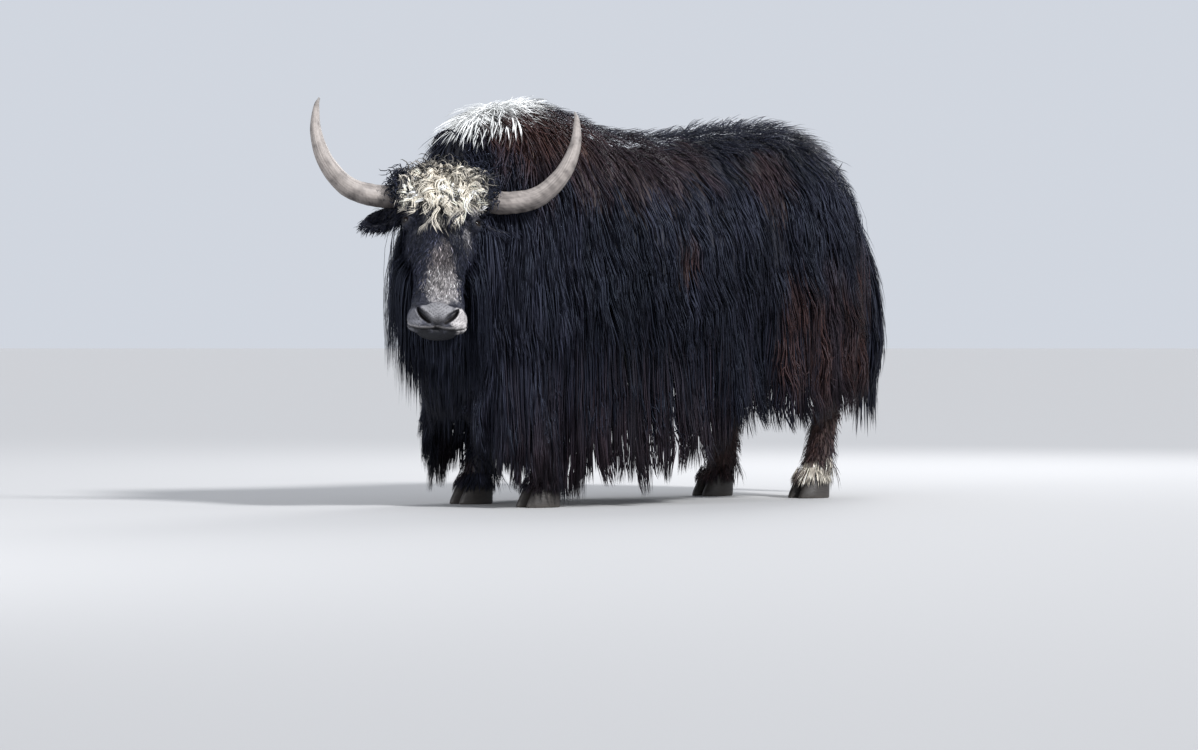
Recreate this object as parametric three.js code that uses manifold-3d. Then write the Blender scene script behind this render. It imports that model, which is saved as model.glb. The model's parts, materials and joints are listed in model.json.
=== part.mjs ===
// A domestic yak bull, standing with its head turned to its left, life size, in millimetres.
// It faces -Y, its left side is +X and +Z is up. The ground is z = 0.
// Each length of the body is a sweep: a row of stations along a line, each with a half width
// and a reach above and below the line. The long coat is made of flat, tapered locks that fall
// from the sweeps, and the curls on the forehead are rounded clumps.
import * as THREE from "three";
import { mergeVertices } from "three/addons/utils/BufferGeometryUtils.js";
import Module from "manifold-3d";

const wasm = await Module();
wasm.setup();

// Driving dimensions.
const gap = 0.3; // between nodes that meet
const humpTop = 1385; // skin over the withers, under the crest of hair
const foreEnd = -300; // where the forequarters meet the barrel, along Y
const hindStart = 330; // where the barrel meets the hindquarters
const headTurn = 54; // degrees to the animal's left of straight ahead
const headPitch = 67; // degrees that the face points below level
const headRoll = 3; // degrees that the left horn drops
const poll = [95, -927, 1118]; // top of the skull, between the horns
const faceLength = 535; // from the poll to the front of the muzzle
const far = 4000; // longer than the animal, for cutting blocks

const vec = (a) => new THREE.Vector3(...a);
const radians = THREE.MathUtils.degToRad;
const mix = THREE.MathUtils.lerp;

// A number from 0 to 1 that depends only on its seeds.
function chance(...seeds) {
  const mixed = seeds.reduce((sum, seed, i) => sum + seed * (12.9898 + 65.233 * i), 0.5);
  const spread = Math.sin(mixed) * 43758.5453;
  return spread - Math.floor(spread);
}

const vary = (share, ...seeds) => 1 + share * (2 * chance(...seeds) - 1);

// Closed geometry to a solid for joining and cutting, and back.
function solid(geometry) {
  const bare = new THREE.BufferGeometry();
  bare.setAttribute("position", geometry.getAttribute("position"));
  bare.setIndex(geometry.index);
  const merged = mergeVertices(bare, 1e-3);
  const made = new wasm.Manifold(
    new wasm.Mesh({
      numProp: 3,
      vertProperties: new Float32Array(merged.attributes.position.array),
      triVerts: new Uint32Array(merged.index.array),
    }),
  );
  return made;
}

function geometryOf(shape) {
  const mesh = shape.getMesh();
  const points = new Float32Array(mesh.numVert * 3);
  for (let i = 0; i < mesh.numVert; i++) {
    points.set(mesh.vertProperties.subarray(i * mesh.numProp, i * mesh.numProp + 3), i * 3);
  }
  const geometry = new THREE.BufferGeometry();
  geometry.setAttribute("position", new THREE.BufferAttribute(points, 3));
  geometry.setIndex(new THREE.BufferAttribute(new Uint32Array(mesh.triVerts), 1));
  geometry.computeVertexNormals();
  return geometry;
}

const joined = (solids) => (solids.length ? wasm.Manifold.union(solids) : null);
const without = (shape, ...cutters) => cutters.filter(Boolean).reduce((s, c) => s.subtract(c), shape);

function largest(shape) {
  return shape.decompose().reduce((a, b) => (b.volume() > a.volume() ? b : a));
}

function block(low, high) {
  const size = high.map((v, i) => v - low[i]);
  const box = new THREE.BoxGeometry(...size);
  box.translate(...high.map((v, i) => (v + low[i]) / 2));
  return solid(box);
}

// An oval solid of three half sizes, placed by a matrix.
function oval(halves, matrix, detail = [10, 8], grow = 0) {
  const ball = new THREE.SphereGeometry(1, ...detail);
  ball.scale(...halves.map((h) => h + grow));
  ball.applyMatrix4(matrix);
  return solid(ball);
}

class Sweep {
  constructor({ stations, upward, along = null, square = 2.2, sides = 16, rings = 12 }) {
    Object.assign(this, { upward: vec(upward), along: along && vec(along), square, sides, rings });
    this.line = new THREE.CatmullRomCurve3(stations.map((s) => vec(s.at)), false, "centripetal");
    const reaches = stations.map((s) => new THREE.Vector3(s.wide, s.high, s.low));
    this.reach = new THREE.CatmullRomCurve3(reaches, false, "catmullrom", 0.5);
  }

  // The middle, directions and reaches of the section at t, from 0 to 1.
  section(t) {
    const middle = this.line.getPoint(t);
    const tangent = this.along ? this.along.clone() : this.line.getTangent(t);
    const up = this.upward.clone().addScaledVector(tangent, -this.upward.dot(tangent)).normalize();
    const side = new THREE.Vector3().crossVectors(tangent, up);
    const r = this.reach.getPoint(t);
    return { middle, tangent, up, side, wide: r.x, high: r.y, low: r.z };
  }

  // A point of the surface. The angle is 0 at the side and 90 degrees at the top.
  on(t, angle, share = 1, grow = 0) {
    const s = this.section(t);
    const [c, d] = [Math.cos(angle), Math.sin(angle)];
    const bend = 2 / this.square;
    const across = Math.sign(c) * Math.abs(c) ** bend * (s.wide + grow);
    const above = Math.sign(d) * Math.abs(d) ** bend * ((d > 0 ? s.high : s.low) + grow);
    const end = t <= 0 ? -grow : t >= 1 ? grow : 0;
    return s.middle
      .addScaledVector(s.side, across * share)
      .addScaledVector(s.up, above * share)
      .addScaledVector(s.tangent, end);
  }

  solid(grow = 0) {
    const shape = new THREE.CylinderGeometry(1, 1, 1, this.sides, this.rings);
    const place = shape.attributes.position;
    for (let i = 0; i < place.count; i++) {
      const [x, y, z] = [place.getX(i), place.getY(i), place.getZ(i)];
      const p = this.on(y + 0.5, Math.atan2(z, x), Math.hypot(x, z), grow);
      place.setXYZ(i, p.x, p.y, p.z);
    }
    return solid(shape);
  }

  // The share along the line at which the middle reaches a value of one coordinate.
  find(axis, value) {
    let [low, high] = [0, 1];
    const rising = this.line.getPoint(1)[axis] > this.line.getPoint(0)[axis];
    for (let i = 0; i < 24; i++) {
      const t = (low + high) / 2;
      if (this.line.getPoint(t)[axis] < value === rising) low = t;
      else high = t;
    }
    return (low + high) / 2;
  }
}

// The barrel of the body, from the base of the neck to the rump. Each station gives the
// distance along Y, the top, the height of the widest line, the bottom and the half width.
const torsoShape = [
  { y: -840, top: 1215, level: 930, bottom: 720, wide: 90 },
  { y: -800, top: 1295, level: 915, bottom: 620, wide: 150 },
  { y: -700, top: 1362, level: 900, bottom: 520, wide: 212 },
  { y: -570, top: humpTop, level: 870, bottom: 460, wide: 265 },
  { y: -400, top: 1340, level: 850, bottom: 440, wide: 290 },
  { y: -170, top: 1262, level: 840, bottom: 425, wide: 320 },
  { y: 90, top: 1262, level: 840, bottom: 420, wide: 335 },
  { y: 330, top: 1302, level: 850, bottom: 450, wide: 325 },
  { y: 560, top: 1328, level: 870, bottom: 500, wide: 300 },
  { y: 760, top: 1288, level: 880, bottom: 560, wide: 265 },
  { y: 870, top: 1190, level: 880, bottom: 620, wide: 200 },
  { y: 930, top: 1040, level: 880, bottom: 720, wide: 110 },
];
const torso = new Sweep({
  stations: torsoShape.map((s) => ({
    at: [0, s.y, s.level],
    wide: s.wide,
    high: s.top - s.level,
    low: s.level - s.bottom,
  })),
  along: [0, 1, 0],
  upward: [0, 0, 1],
  sides: 16,
  rings: 12,
});

// The neck runs from inside the withers to the back of the head.
const neck = new Sweep({
  stations: [
    { at: [0, -600, 960], wide: 190, high: 250, low: 300 },
    { at: [6, -730, 950], wide: 180, high: 250, low: 300 },
    { at: [42, -845, 955], wide: 152, high: 215, low: 260 },
    { at: [88, -925, 970], wide: 112, high: 135, low: 190 },
  ],
  upward: [0, 0, 1],
  sides: 12,
  rings: 5,
});

// The head's own frame is like the body's: it faces -Y, its left is +X, and +Z runs from the
// muzzle to the poll, which is its origin.
function headFrame() {
  const [turn, pitch] = [radians(headTurn), radians(headPitch)];
  const facing = new THREE.Vector3(Math.sin(turn), -Math.cos(turn), 0);
  const left = new THREE.Vector3(Math.cos(turn), Math.sin(turn), 0);
  const level = new THREE.Vector3(0, 0, 1);
  const back = facing.clone().multiplyScalar(-Math.sin(pitch)).addScaledVector(level, -Math.cos(pitch));
  const up = facing.clone().multiplyScalar(-Math.cos(pitch)).addScaledVector(level, Math.sin(pitch));
  const roll = new THREE.Matrix4().makeRotationAxis(facing, radians(-headRoll));
  return roll.multiply(new THREE.Matrix4().makeBasis(left, back, up)).setPosition(...poll);
}
const onHead = headFrame();
const headPoint = (x, y, z) => new THREE.Vector3(x, y, z).applyMatrix4(onHead);
const headWay = (x, y, z) => headPoint(x, y, z).sub(headPoint(0, 0, 0));

// Skull, cheeks and muzzle. "out" and "in" are the reaches to the forehead and to the jaw.
const headShape = [
  { down: -18, out: 40, in: 60, wide: 62 },
  { down: 25, out: 62, in: 105, wide: 104 },
  { down: 95, out: 70, in: 135, wide: 118 },
  { down: 165, out: 68, in: 158, wide: 117 },
  { down: 250, out: 60, in: 155, wide: 100 },
  { down: 340, out: 52, in: 128, wide: 80 },
  { down: 415, out: 50, in: 96, wide: 76 },
  { down: 465, out: 54, in: 80, wide: 88 },
  { down: 512, out: 50, in: 66, wide: 90 },
  { down: faceLength, out: 34, in: 44, wide: 66 },
];
const skull = new Sweep({
  stations: headShape.map((s) => ({
    at: headPoint(0, 0, -s.down).toArray(),
    wide: s.wide,
    high: s.out,
    low: s.in,
  })),
  upward: headWay(0, -1, 0).toArray(),
  square: 2.3,
  sides: 14,
  rings: 13,
});

// A matrix that turns an oval by degrees about the head's axes and sets it at a point of the head.
function atHead(x, y, z, turns = [0, 0, 0]) {
  const turned = new THREE.Matrix4().makeRotationFromEuler(new THREE.Euler(...turns.map(radians)));
  return onHead.clone().multiply(turned.setPosition(x, y, z));
}

const eye = { x: 101, y: -20, z: -168, radius: 20 };
const nostril = { x: 42, y: -56, z: -516, halves: [20, 16, 10] };
const sides = { left: 1, right: -1 };

function eyeball(side, grow = 0) {
  return oval([eye.radius, eye.radius, eye.radius], atHead(side * eye.x, eye.y, eye.z), [8, 6], grow);
}

// The lids are an oval swelling round the eye, open in a slit that shows the eyeball.
function lids(side, grow = 0) {
  const at = [side * (eye.x + 1), eye.y - 1, eye.z];
  return oval([22, 31, 25], atHead(...at, [18, 0, 0]), [8, 6], grow);
}

function lidSlit(side) {
  return oval([30, 20, 9], atHead(side * (eye.x + 26), eye.y - 4, eye.z, [18, 0, 0]), [8, 4]);
}

// The nose pad, the upper lip and the lower lip with the chin.
function muzzle(grow = 0) {
  return joined([
    oval([68, 34, 30], atHead(0, -38, -516, [12, 0, 0]), [10, 6], grow),
    oval([90, 54, 24], atHead(0, 2, -526), [12, 6], grow),
    oval([66, 46, 18], atHead(0, 20, -543), [10, 5], grow),
  ]);
}

// The mouth line is a thin cut, as deep as the lips, round the front of the muzzle.
function mouthCut() {
  const disc = (across, deep, thick) => {
    const shape = new THREE.CylinderGeometry(1, 1, thick, 14).rotateX(Math.PI / 2);
    return solid(shape.scale(across, deep, 1).applyMatrix4(atHead(0, 12, -537, [-6, 0, 0])));
  };
  const front = new THREE.BoxGeometry(240, 100, 60).applyMatrix4(atHead(0, -38, -537));
  return disc(110, 90, 5).subtract(disc(70, 44, 9)).intersect(solid(front));
}

function nostrilCut(side) {
  const at = atHead(side * nostril.x, nostril.y, nostril.z, [0, side * 24, side * -28]);
  return oval(nostril.halves, at, [8, 4]);
}

// A lock of hair: flat, tapered and bent along a path of points, each with its way out. Its
// section is a low ridge, and its root is the first point.
function lock({ path, width, thick, grow = 0 }) {
  const cone = new THREE.ConeGeometry(1, 1, 3, path.length - 1);
  const place = cone.attributes.position;
  for (let i = 0; i < place.count; i++) {
    const [x, y, z] = [place.getX(i), place.getY(i), place.getZ(i)];
    const k = Math.round((y + 0.5) * (path.length - 1));
    const t = k / (path.length - 1);
    const { at, out } = path[k];
    const tangent = path[Math.min(k + 1, path.length - 1)].at.clone().sub(path[Math.max(k - 1, 0)].at).normalize();
    const across = new THREE.Vector3().crossVectors(tangent, out).normalize();
    const rise = new THREE.Vector3().crossVectors(across, tangent);
    const taper = t < 1 ? (1 - t) ** 0.6 * (0.7 + 0.6 * t) : 0;
    const reach = t < 1 ? Math.hypot(x, z) / (1 - t) : 0;
    const turn = Math.atan2(x, z);
    const p = at.clone().addScaledVector(tangent, k === 0 ? -grow : t === 1 ? 4 * grow : 0);
    if (reach > 0.5) {
      p.addScaledVector(across, Math.sin(turn) * 1.155 * (taper * width * 0.5 + 6 * grow));
      p.addScaledVector(rise, Math.cos(turn) > 0.9 ? taper * thick + grow : -0.2 * taper * thick - grow);
    }
    place.setXYZ(i, p.x, p.y, p.z);
  }
  return solid(cone);
}

// How far each of a lock's points stands off, from root to tip, as a share of the lift.
const rise = [-0.35, 0.25, 0.5, 0.8, 1];

// A lock that falls straight down from a point.
function hanging({ from, out, length, lean = [0, 0], lift = 40, width = 80, thick = 24, grow = 0 }) {
  const path = rise.map((share, k) => {
    const t = k / (rise.length - 1);
    const at = from.clone().addScaledVector(out, lift * share);
    return { at: at.add(new THREE.Vector3(lean[0] * t * t, lean[1] * t * t, -length * t)), out };
  });
  return lock({ path, width, thick, grow });
}

// A lock that lies along a sweep, from the share t of its line on, at an angle round it. It runs
// straight on past the end of the line.
function along(sweep, { t, angle, length, twist = 0, lift = 40, width = 80, thick = 24, grow = 0 }) {
  const whole = sweep.line.getLength();
  const path = rise.map((share, k) => {
    const reached = t + (length / whole) * (k / (rise.length - 1));
    const end = Math.min(reached, 1);
    const turn = angle + (twist * k) / (rise.length - 1);
    const s = sweep.section(end);
    const out = s.side.clone().multiplyScalar(Math.cos(turn)).addScaledVector(s.up, Math.sin(turn));
    const at = sweep.on(end, turn, 1, 0).addScaledVector(out, lift * share);
    return { at: at.addScaledVector(s.tangent, (reached - end) * whole), out };
  });
  return lock({ path, width, thick, grow });
}

// Curls on the forehead and poll: rounded clumps on a staggered grid that follows the skull.
const curls = { across: 6, rows: 4, step: 45, top: 20, radius: 27 };

function forelock(grow = 0) {
  const clumps = [];
  for (let row = 0; row < curls.rows; row++) {
    for (let i = 0; i < curls.across; i++) {
      const x = (i - (curls.across - 1) / 2 + (row % 2 ? 0.25 : -0.25)) * curls.step;
      const z = curls.top - row * curls.step;
      if (Math.abs(x) > 128 - row * 10) continue;
      const size = curls.radius * vary(0.22, row, i) + grow;
      const s = skull.section(skullShare((18 - Math.min(z, 12)) / (faceLength + 18)));
      const lean = Math.asin(THREE.MathUtils.clamp(x / (s.wide + 14), -0.98, 0.98));
      const clump = new THREE.IcosahedronGeometry(1, 0);
      clump.rotateX(i * 1.3).rotateZ(row * 2.1).scale(size, size * 0.9, size);
      clump.applyMatrix4(atHead(x, -Math.cos(lean) * s.high - 5 * vary(1, i, row), z));
      clumps.push(solid(clump));
    }
  }
  return joined(clumps);
}

// The share of the way along the skull's line at which a given share of its length is reached.
function skullShare(share) {
  const total = faceLength + 18;
  const stops = headShape.map((s) => (s.down + 18) / total);
  const i = Math.max(1, stops.findIndex((s) => s >= share));
  return (i - 1 + (share - stops[i - 1]) / (stops[i] - stops[i - 1])) / (stops.length - 1);
}

// Horns: round, tapering sweeps that leave the head sideways and curve forward and up.
const hornLine = [
  { out: 92, fore: -25, up: -52, thick: 41 },
  { out: 150, fore: -18, up: -66, thick: 41 },
  { out: 235, fore: 8, up: -68, thick: 38 },
  { out: 325, fore: 44, up: -42, thick: 35 },
  { out: 398, fore: 66, up: 34, thick: 29 },
  { out: 436, fore: 62, up: 130, thick: 20 },
  { out: 440, fore: 30, up: 215, thick: 10 },
  { out: 432, fore: 12, up: 250, thick: 2.5 },
];

function horn(side) {
  const [turn, roll] = [radians(headTurn), radians(headRoll)];
  const facing = new THREE.Vector3(Math.sin(turn), -Math.cos(turn), 0);
  const left = new THREE.Vector3(Math.cos(turn), Math.sin(turn), 0);
  const stations = hornLine.map((s) => {
    const at = vec(poll)
      .addScaledVector(left, side * s.out + s.up * Math.sin(roll))
      .addScaledVector(facing, s.fore)
      .add(new THREE.Vector3(0, 0, s.up - side * s.out * Math.sin(roll)));
    return { at: at.toArray(), wide: s.thick, high: s.thick, low: s.thick };
  });
  return new Sweep({ stations, upward: facing.toArray(), square: 2, sides: 9, rings: 12 });
}

// Ears: leaf-shaped cups that stand out sideways below the horns.
const ear = { x: 196, y: 72, z: -128, length: 84, width: 44, depth: 24, droop: 14 };

function earCup(side, grow = 0) {
  const turns = [-20, side * ear.droop, side * 12];
  const shell = oval([ear.length, ear.depth, ear.width], atHead(side * ear.x, ear.y, ear.z, turns), [10, 7], grow);
  if (grow) return shell;
  const hollow = [ear.length * 0.8, ear.depth, ear.width * 0.72];
  return shell.subtract(oval(hollow, atHead(side * (ear.x + 8), ear.y - 17, ear.z - 3, turns), [8, 5]));
}

// Legs: each is a level-cut sweep from the body down to the top of the hoof.
const foreLeg = [
  { z: 660, y: 30, wide: 78, front: 105, back: 110 },
  { z: 560, y: 20, wide: 70, front: 84, back: 92 },
  { z: 450, y: 6, wide: 58, front: 62, back: 70 },
  { z: 340, y: -6, wide: 56, front: 60, back: 58 },
  { z: 240, y: 0, wide: 46, front: 46, back: 50 },
  { z: 140, y: 0, wide: 54, front: 52, back: 58 },
  { z: 78, y: -18, wide: 52, front: 52, back: 54 },
];
const hindLeg = [
  { z: 760, y: -20, wide: 96, front: 180, back: 112 },
  { z: 640, y: -6, wide: 86, front: 136, back: 100 },
  { z: 520, y: 34, wide: 66, front: 88, back: 84 },
  { z: 420, y: 72, wide: 56, front: 64, back: 62 },
  { z: 300, y: 48, wide: 48, front: 52, back: 52 },
  { z: 150, y: 14, wide: 54, front: 52, back: 58 },
  { z: 78, y: -10, wide: 52, front: 52, back: 54 },
];
const hoof = { z: 78, wide: 64, front: 84, back: 52, lead: -22, cleft: 9 };
const feet = {
  front_left: { x: 185, y: -555, legs: foreLeg },
  front_right: { x: -185, y: -560, legs: foreLeg },
  hind_left: { x: 185, y: 700, legs: hindLeg },
  hind_right: { x: -185, y: 560, legs: hindLeg },
};

function leg(foot) {
  return new Sweep({
    stations: foot.legs.map((s) => ({
      at: [foot.x, foot.y + s.y, s.z],
      wide: s.wide,
      high: s.front,
      low: s.back,
    })),
    along: [0, 0, -1],
    upward: [0, -1, 0],
    sides: 10,
    rings: 9,
  });
}

// A hoof is a flat-soled block with two claws, parted by a wedge at the toe.
function hoofBlock(foot) {
  const [sole, top] = [0, hoof.z - gap];
  const claws = new Sweep({
    stations: [
      { at: [foot.x, foot.y - 18, top], wide: 53, high: 53, low: 54 },
      { at: [foot.x, foot.y - 21, 44], wide: 58, high: 64, low: 55 },
      { at: [foot.x, foot.y + hoof.lead, 14], wide: hoof.wide, high: 80, low: 54 },
      { at: [foot.x, foot.y + hoof.lead, sole], wide: hoof.wide - 2, high: hoof.front, low: hoof.back },
    ],
    along: [0, 0, -1],
    upward: [0, -1, 0],
    square: 2.6,
    sides: 14,
    rings: 3,
  });
  const wedge = new THREE.CylinderGeometry(hoof.cleft, 3, 2 * hoof.z, 3, 1);
  wedge.scale(1, 1, 7).rotateX(radians(24)).translate(foot.x, foot.y - 108, 20);
  return claws.solid().subtract(solid(wedge));
}

// The dock of the tail, under its long hair.
const dock = new Sweep({
  stations: [
    { at: [0, 850, 1120], wide: 40, high: 38, low: 38 },
    { at: [4, 935, 1085], wide: 36, high: 34, low: 34 },
    { at: [16, 985, 980], wide: 30, high: 28, low: 28 },
    { at: [28, 1000, 850], wide: 25, high: 22, low: 22 },
    { at: [34, 998, 720], wide: 14, high: 12, low: 12 },
  ],
  upward: [0, 1, 0.2],
  sides: 10,
  rings: 9,
});

// The coat falls from the top line over the flanks, and hangs as a skirt below them. Each station
// gives the place in plan of the skirt on the left side, and the height of its tips.
const skirtLine = [
  { x: 40, y: -835, tips: 310 },
  { x: 132, y: -775, tips: 300 },
  { x: 212, y: -678, tips: 240 },
  { x: 272, y: -565, tips: 108 },
  { x: 305, y: -400, tips: 70 },
  { x: 325, y: -170, tips: 80 },
  { x: 335, y: 90, tips: 170 },
  { x: 328, y: 330, tips: 240 },
  { x: 308, y: 560, tips: 245 },
  { x: 272, y: 760, tips: 310 },
  { x: 200, y: 885, tips: 390 },
  { x: 60, y: 960, tips: 470 },
];
const coat = { depth: 18, lift: 42, skirtTop: 800, skirtThick: 24, skirtShare: 0.5 };
const skirtPlan = new THREE.CatmullRomCurve3(skirtLine.map((s) => new THREE.Vector3(s.x, s.y, 0)));
const skirtTips = new THREE.CatmullRomCurve3(skirtLine.map((s) => new THREE.Vector3(s.x, s.y, s.tips)));

// The denser hair inside the skirt, which ends half way to the tips.
function skirtCore(side, grow = 0) {
  return new Sweep({
    stations: skirtLine.map((s) => {
      const half = ((coat.skirtTop - s.tips) * coat.skirtShare) / 2;
      return { at: [side * s.x, s.y, coat.skirtTop - half], wide: coat.skirtThick, high: half, low: half };
    }),
    upward: [0, 0, 1],
    square: 3,
    sides: 8,
    rings: 11,
  }).solid(grow);
}

// The line down the left side from the spine to the tips of the skirt, at a share of the way
// from the chest to the rump.
function fallLine(share) {
  const end = skirtTips.getPoint(share);
  const way = skirtPlan.getTangent(share);
  const out = new THREE.Vector3(way.y, -way.x, 0);
  const t = torso.find("y", THREE.MathUtils.clamp(end.y, -815, 912));
  const points = [];
  for (let i = 0; i <= 8; i++) points.push(torso.on(t, radians(90 - i * 11.25), 1, coat.depth));
  const level = points.at(-1).z;
  for (let i = 1; i <= 4; i++) {
    const p = end.clone().addScaledVector(out, coat.skirtThick);
    points.push(p.setZ(mix(level, end.z, i / 4)));
  }
  const line = new THREE.CatmullRomCurve3(points, false, "centripetal");
  line.arcLengthDivisions = 60;
  return line;
}

// A place on the coat, from chest to rump and from spine to tips, and its way out.
function drape(side, share, fall) {
  const [before, here, after] = [share - 0.01, share, share + 0.01].map((v) =>
    fallLine(THREE.MathUtils.clamp(v, 0, 1)),
  );
  const down = here.getTangentAt(Math.min(fall, 1));
  const ahead = after.getPointAt(Math.min(fall, 1)).sub(before.getPointAt(Math.min(fall, 1)));
  const at = here.getPointAt(Math.min(fall, 1));
  const out = new THREE.Vector3().crossVectors(down, ahead).normalize();
  const flip = new THREE.Vector3(side, 1, 1);
  return { at: at.multiply(flip), out: out.multiply(flip) };
}

// A row of locks down one side, from chest to rump.
const rows = {
  trunk: [
    { root: 0.01, span: 0.33, count: 10, from: 0.14 },
    { root: 0.17, span: 0.34, count: 10, from: 0.17 },
    { root: 0.34, span: 0.34, count: 10, from: 0.17 },
  ],
  skirt: [
    { root: 0.53, span: 0.34, count: 10, from: 0.15 },
    { root: 0.66, span: 0.36, count: 16, from: 0.03 },
  ],
};

function coatLocks(part, side, grow = 0) {
  const locks = [];
  rows[part].forEach(({ root, span, count, from }, row) => {
    for (let i = 0; i < count; i++) {
      const seeds = [row + 1, i + 1, part.length, side + 2];
      const share = mix(from, 1, (i + 0.5 + 0.25 * (row % 2 ? 1 : -1)) / count);
      const sway = 0.012 + 0.012 * (chance(3, ...seeds) - 0.5);
      const reach = span * vary(0.1, ...seeds);
      const path = rise.map((lift, k) => {
        const t = k / (rise.length - 1);
        const { at, out } = drape(side, share + sway * t * t, Math.min(root + reach * t, 1));
        return { at: at.addScaledVector(out, coat.lift * lift * vary(0.12, 5, ...seeds)), out };
      });
      const pitch = (2150 * (1 - from)) / count;
      locks.push(lock({ path, width: pitch * 1.16 * vary(0.06, 7, ...seeds), thick: 20, grow }));
    }
  });
  return joined(locks);
}

// The mane hangs from the throat and the sides of the neck, down in front of the chest.
const maneLine = [
  { at: [62, -850, 1080], wide: 130, high: 70, low: 100 },
  { at: [70, -862, 950], wide: 180, high: 92, low: 115 },
  { at: [70, -866, 760], wide: 190, high: 106, low: 115 },
  { at: [56, -856, 600], wide: 165, high: 104, low: 110 },
  { at: [44, -848, 450], wide: 120, high: 84, low: 90 },
  { at: [34, -842, 300], wide: 60, high: 44, low: 44 },
];

function maneSweep(stations, inset) {
  return new Sweep({
    stations: stations.map((s) => ({ ...s, wide: s.wide - inset, high: s.high - inset, low: s.low - inset })),
    along: [0, 0, -1],
    upward: [Math.sin(radians(38)), -Math.cos(radians(38)), 0],
    sides: 12,
    rings: 6,
  });
}
const mane = maneSweep(maneLine, 18);
const maneCore = maneSweep([...maneLine.slice(0, 3), { at: [62, -858, 660], wide: 110, high: 70, low: 76 }], 18);

function maneLocks(grow = 0) {
  const locks = [];
  [0.1, 0.36, 0.6].forEach((t, row) => {
    for (let i = 0; i < 5; i++) {
      const angle = radians(-30 + i * 52 + 26 * (row % 2));
      const length = 330 * vary(0.12, row, i, 3);
      const twist = radians(6) * (chance(i, row, 9) - 0.5);
      locks.push(along(mane, { t, angle, length, twist, lift: 34, width: 150 - row * 18, thick: 28, grow }));
    }
  });
  return joined(locks);
}

// The beard hangs from the chin and the jaw, and shorter locks hang from the cheeks.
const jawLocks = [
  { x: 0, y: 62, z: -528, length: 120, width: 60 },
  { x: 30, y: 72, z: -500, length: 150, width: 58 },
  { x: -30, y: 72, z: -500, length: 140, width: 58 },
  { x: 42, y: 92, z: -430, length: 190, width: 70 },
  { x: -42, y: 92, z: -430, length: 185, width: 70 },
  { x: 66, y: 110, z: -330, length: 230, width: 90 },
  { x: -66, y: 110, z: -330, length: 235, width: 90 },
];

function headLocks(grow = 0) {
  return joined(
    jawLocks.map(({ x, y, z, length, width }, i) => {
      const out = headWay(x * 1.5, y * 0.6, 0).setZ(0).normalize();
      const from = headPoint(x, y, z).addScaledVector(out, -14);
      const lean = [out.x * 20 * vary(1, i), out.y * 20 * vary(1, i)];
      return hanging({ from, out, length, lean, lift: 30, width, thick: 24, grow });
    }),
  );
}

// The tail: a dense middle that ends half way down, and locks all round it.
const tailLine = [
  { at: [0, 880, 1120], wide: 40, high: 40, low: 40 },
  { at: [6, 985, 1050], wide: 46, high: 40, low: 44 },
  { at: [26, 1048, 900], wide: 66, high: 54, low: 56 },
  { at: [44, 1080, 720], wide: 74, high: 62, low: 64 },
  { at: [54, 1082, 540], wide: 64, high: 52, low: 56 },
  { at: [58, 1068, 400], wide: 40, high: 34, low: 34 },
];
const tailSweep = (stations) => new Sweep({ stations, upward: [0, 1, 0.3], sides: 10, rings: 8 });
const tail = tailSweep(tailLine);
const tailCore = tailSweep([...tailLine.slice(0, 4), { at: [50, 1084, 640], wide: 30, high: 26, low: 26 }]);

function tailLocks(grow = 0) {
  const locks = [];
  [0.2, 0.42, 0.66].forEach((t, row) => {
    for (let i = 0; i < 4; i++) {
      const angle = radians(i * 90 + 45 * (row % 2) + 12);
      const length = 300 * vary(0.14, row, i, 5);
      locks.push(along(tail, { t, angle, length, lift: 34, width: 112, thick: 28, grow }));
    }
  });
  return joined(locks);
}

// The fringe on the back of each thigh.
function fringe(foot, grow = 0) {
  const locks = [-1, 0, 1].map((i) => {
    const out = new THREE.Vector3(0.5 * i, 1, 0).normalize();
    const from = new THREE.Vector3(foot.x + i * 48, foot.y + 98 - 14 * Math.abs(i), 640 - 20 * i);
    const length = 290 * vary(0.12, i + 2, foot.y);
    return hanging({ from, out, length, lean: [0, 26], lift: 26, width: 92, thick: 26, grow });
  });
  return joined(locks);
}

// Each side of the body is cut into three blocks across its length.
const blocks = {
  fore: [-far, foreEnd],
  mid: [foreEnd, hindStart],
  hind: [hindStart, far],
};
const names = { fore: "forequarter", mid: "barrel", hind: "hindquarter" };
const colours = {
  coat: [0.022, 0.02, 0.024],
  face: [0.05, 0.045, 0.045],
  horn: [0.42, 0.38, 0.33],
  hoof: [0.05, 0.045, 0.04],
  eye: [0.02, 0.012, 0.01],
};

const yak = new THREE.Group();
function add(name, shape, colour, roughness = 0.7) {
  const look = new THREE.MeshStandardMaterial({ color: new THREE.Color(...colours[colour]), roughness });
  const mesh = new THREE.Mesh(geometryOf(largest(shape)), look);
  mesh.name = name;
  yak.add(mesh);
}

const skullOuter = skull.solid(gap);
const horns = [horn(1).solid(gap), horn(-1).solid(gap)];
const ears = [earCup(1, gap), earCup(-1, gap)];
const eyes = [eyeball(1, gap), eyeball(-1, gap)];
const legsOuter = Object.values(feet).map((foot) => leg(foot).solid(gap));

// The head, with its hair kept clear of the horns and ears.
const headHair = (grow = 0) => without(joined([forelock(grow), headLocks(grow)]), ...horns, ...ears);
const face = joined([skull.solid(), muzzle(), lids(1), lids(-1), headHair()]);
const cuts = [lidSlit(1), lidSlit(-1), nostrilCut(1), nostrilCut(-1), mouthCut(), ...eyes];
add("head", without(face, ...cuts), "face");
for (const [side, s] of Object.entries(sides)) {
  add(`horn_${side}`, without(horn(s).solid(), skullOuter), "horn", 0.35);
  add(`ear_${side}`, without(earCup(s), skullOuter, ...horns), "coat");
  add(`eye_${side}`, eyeball(s), "eye", 0.1);
}
const faceOuter = joined([skullOuter, muzzle(gap), lids(1, gap), lids(-1, gap), headHair(gap)]);
const headParts = [faceOuter, ...horns, ...ears];

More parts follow.
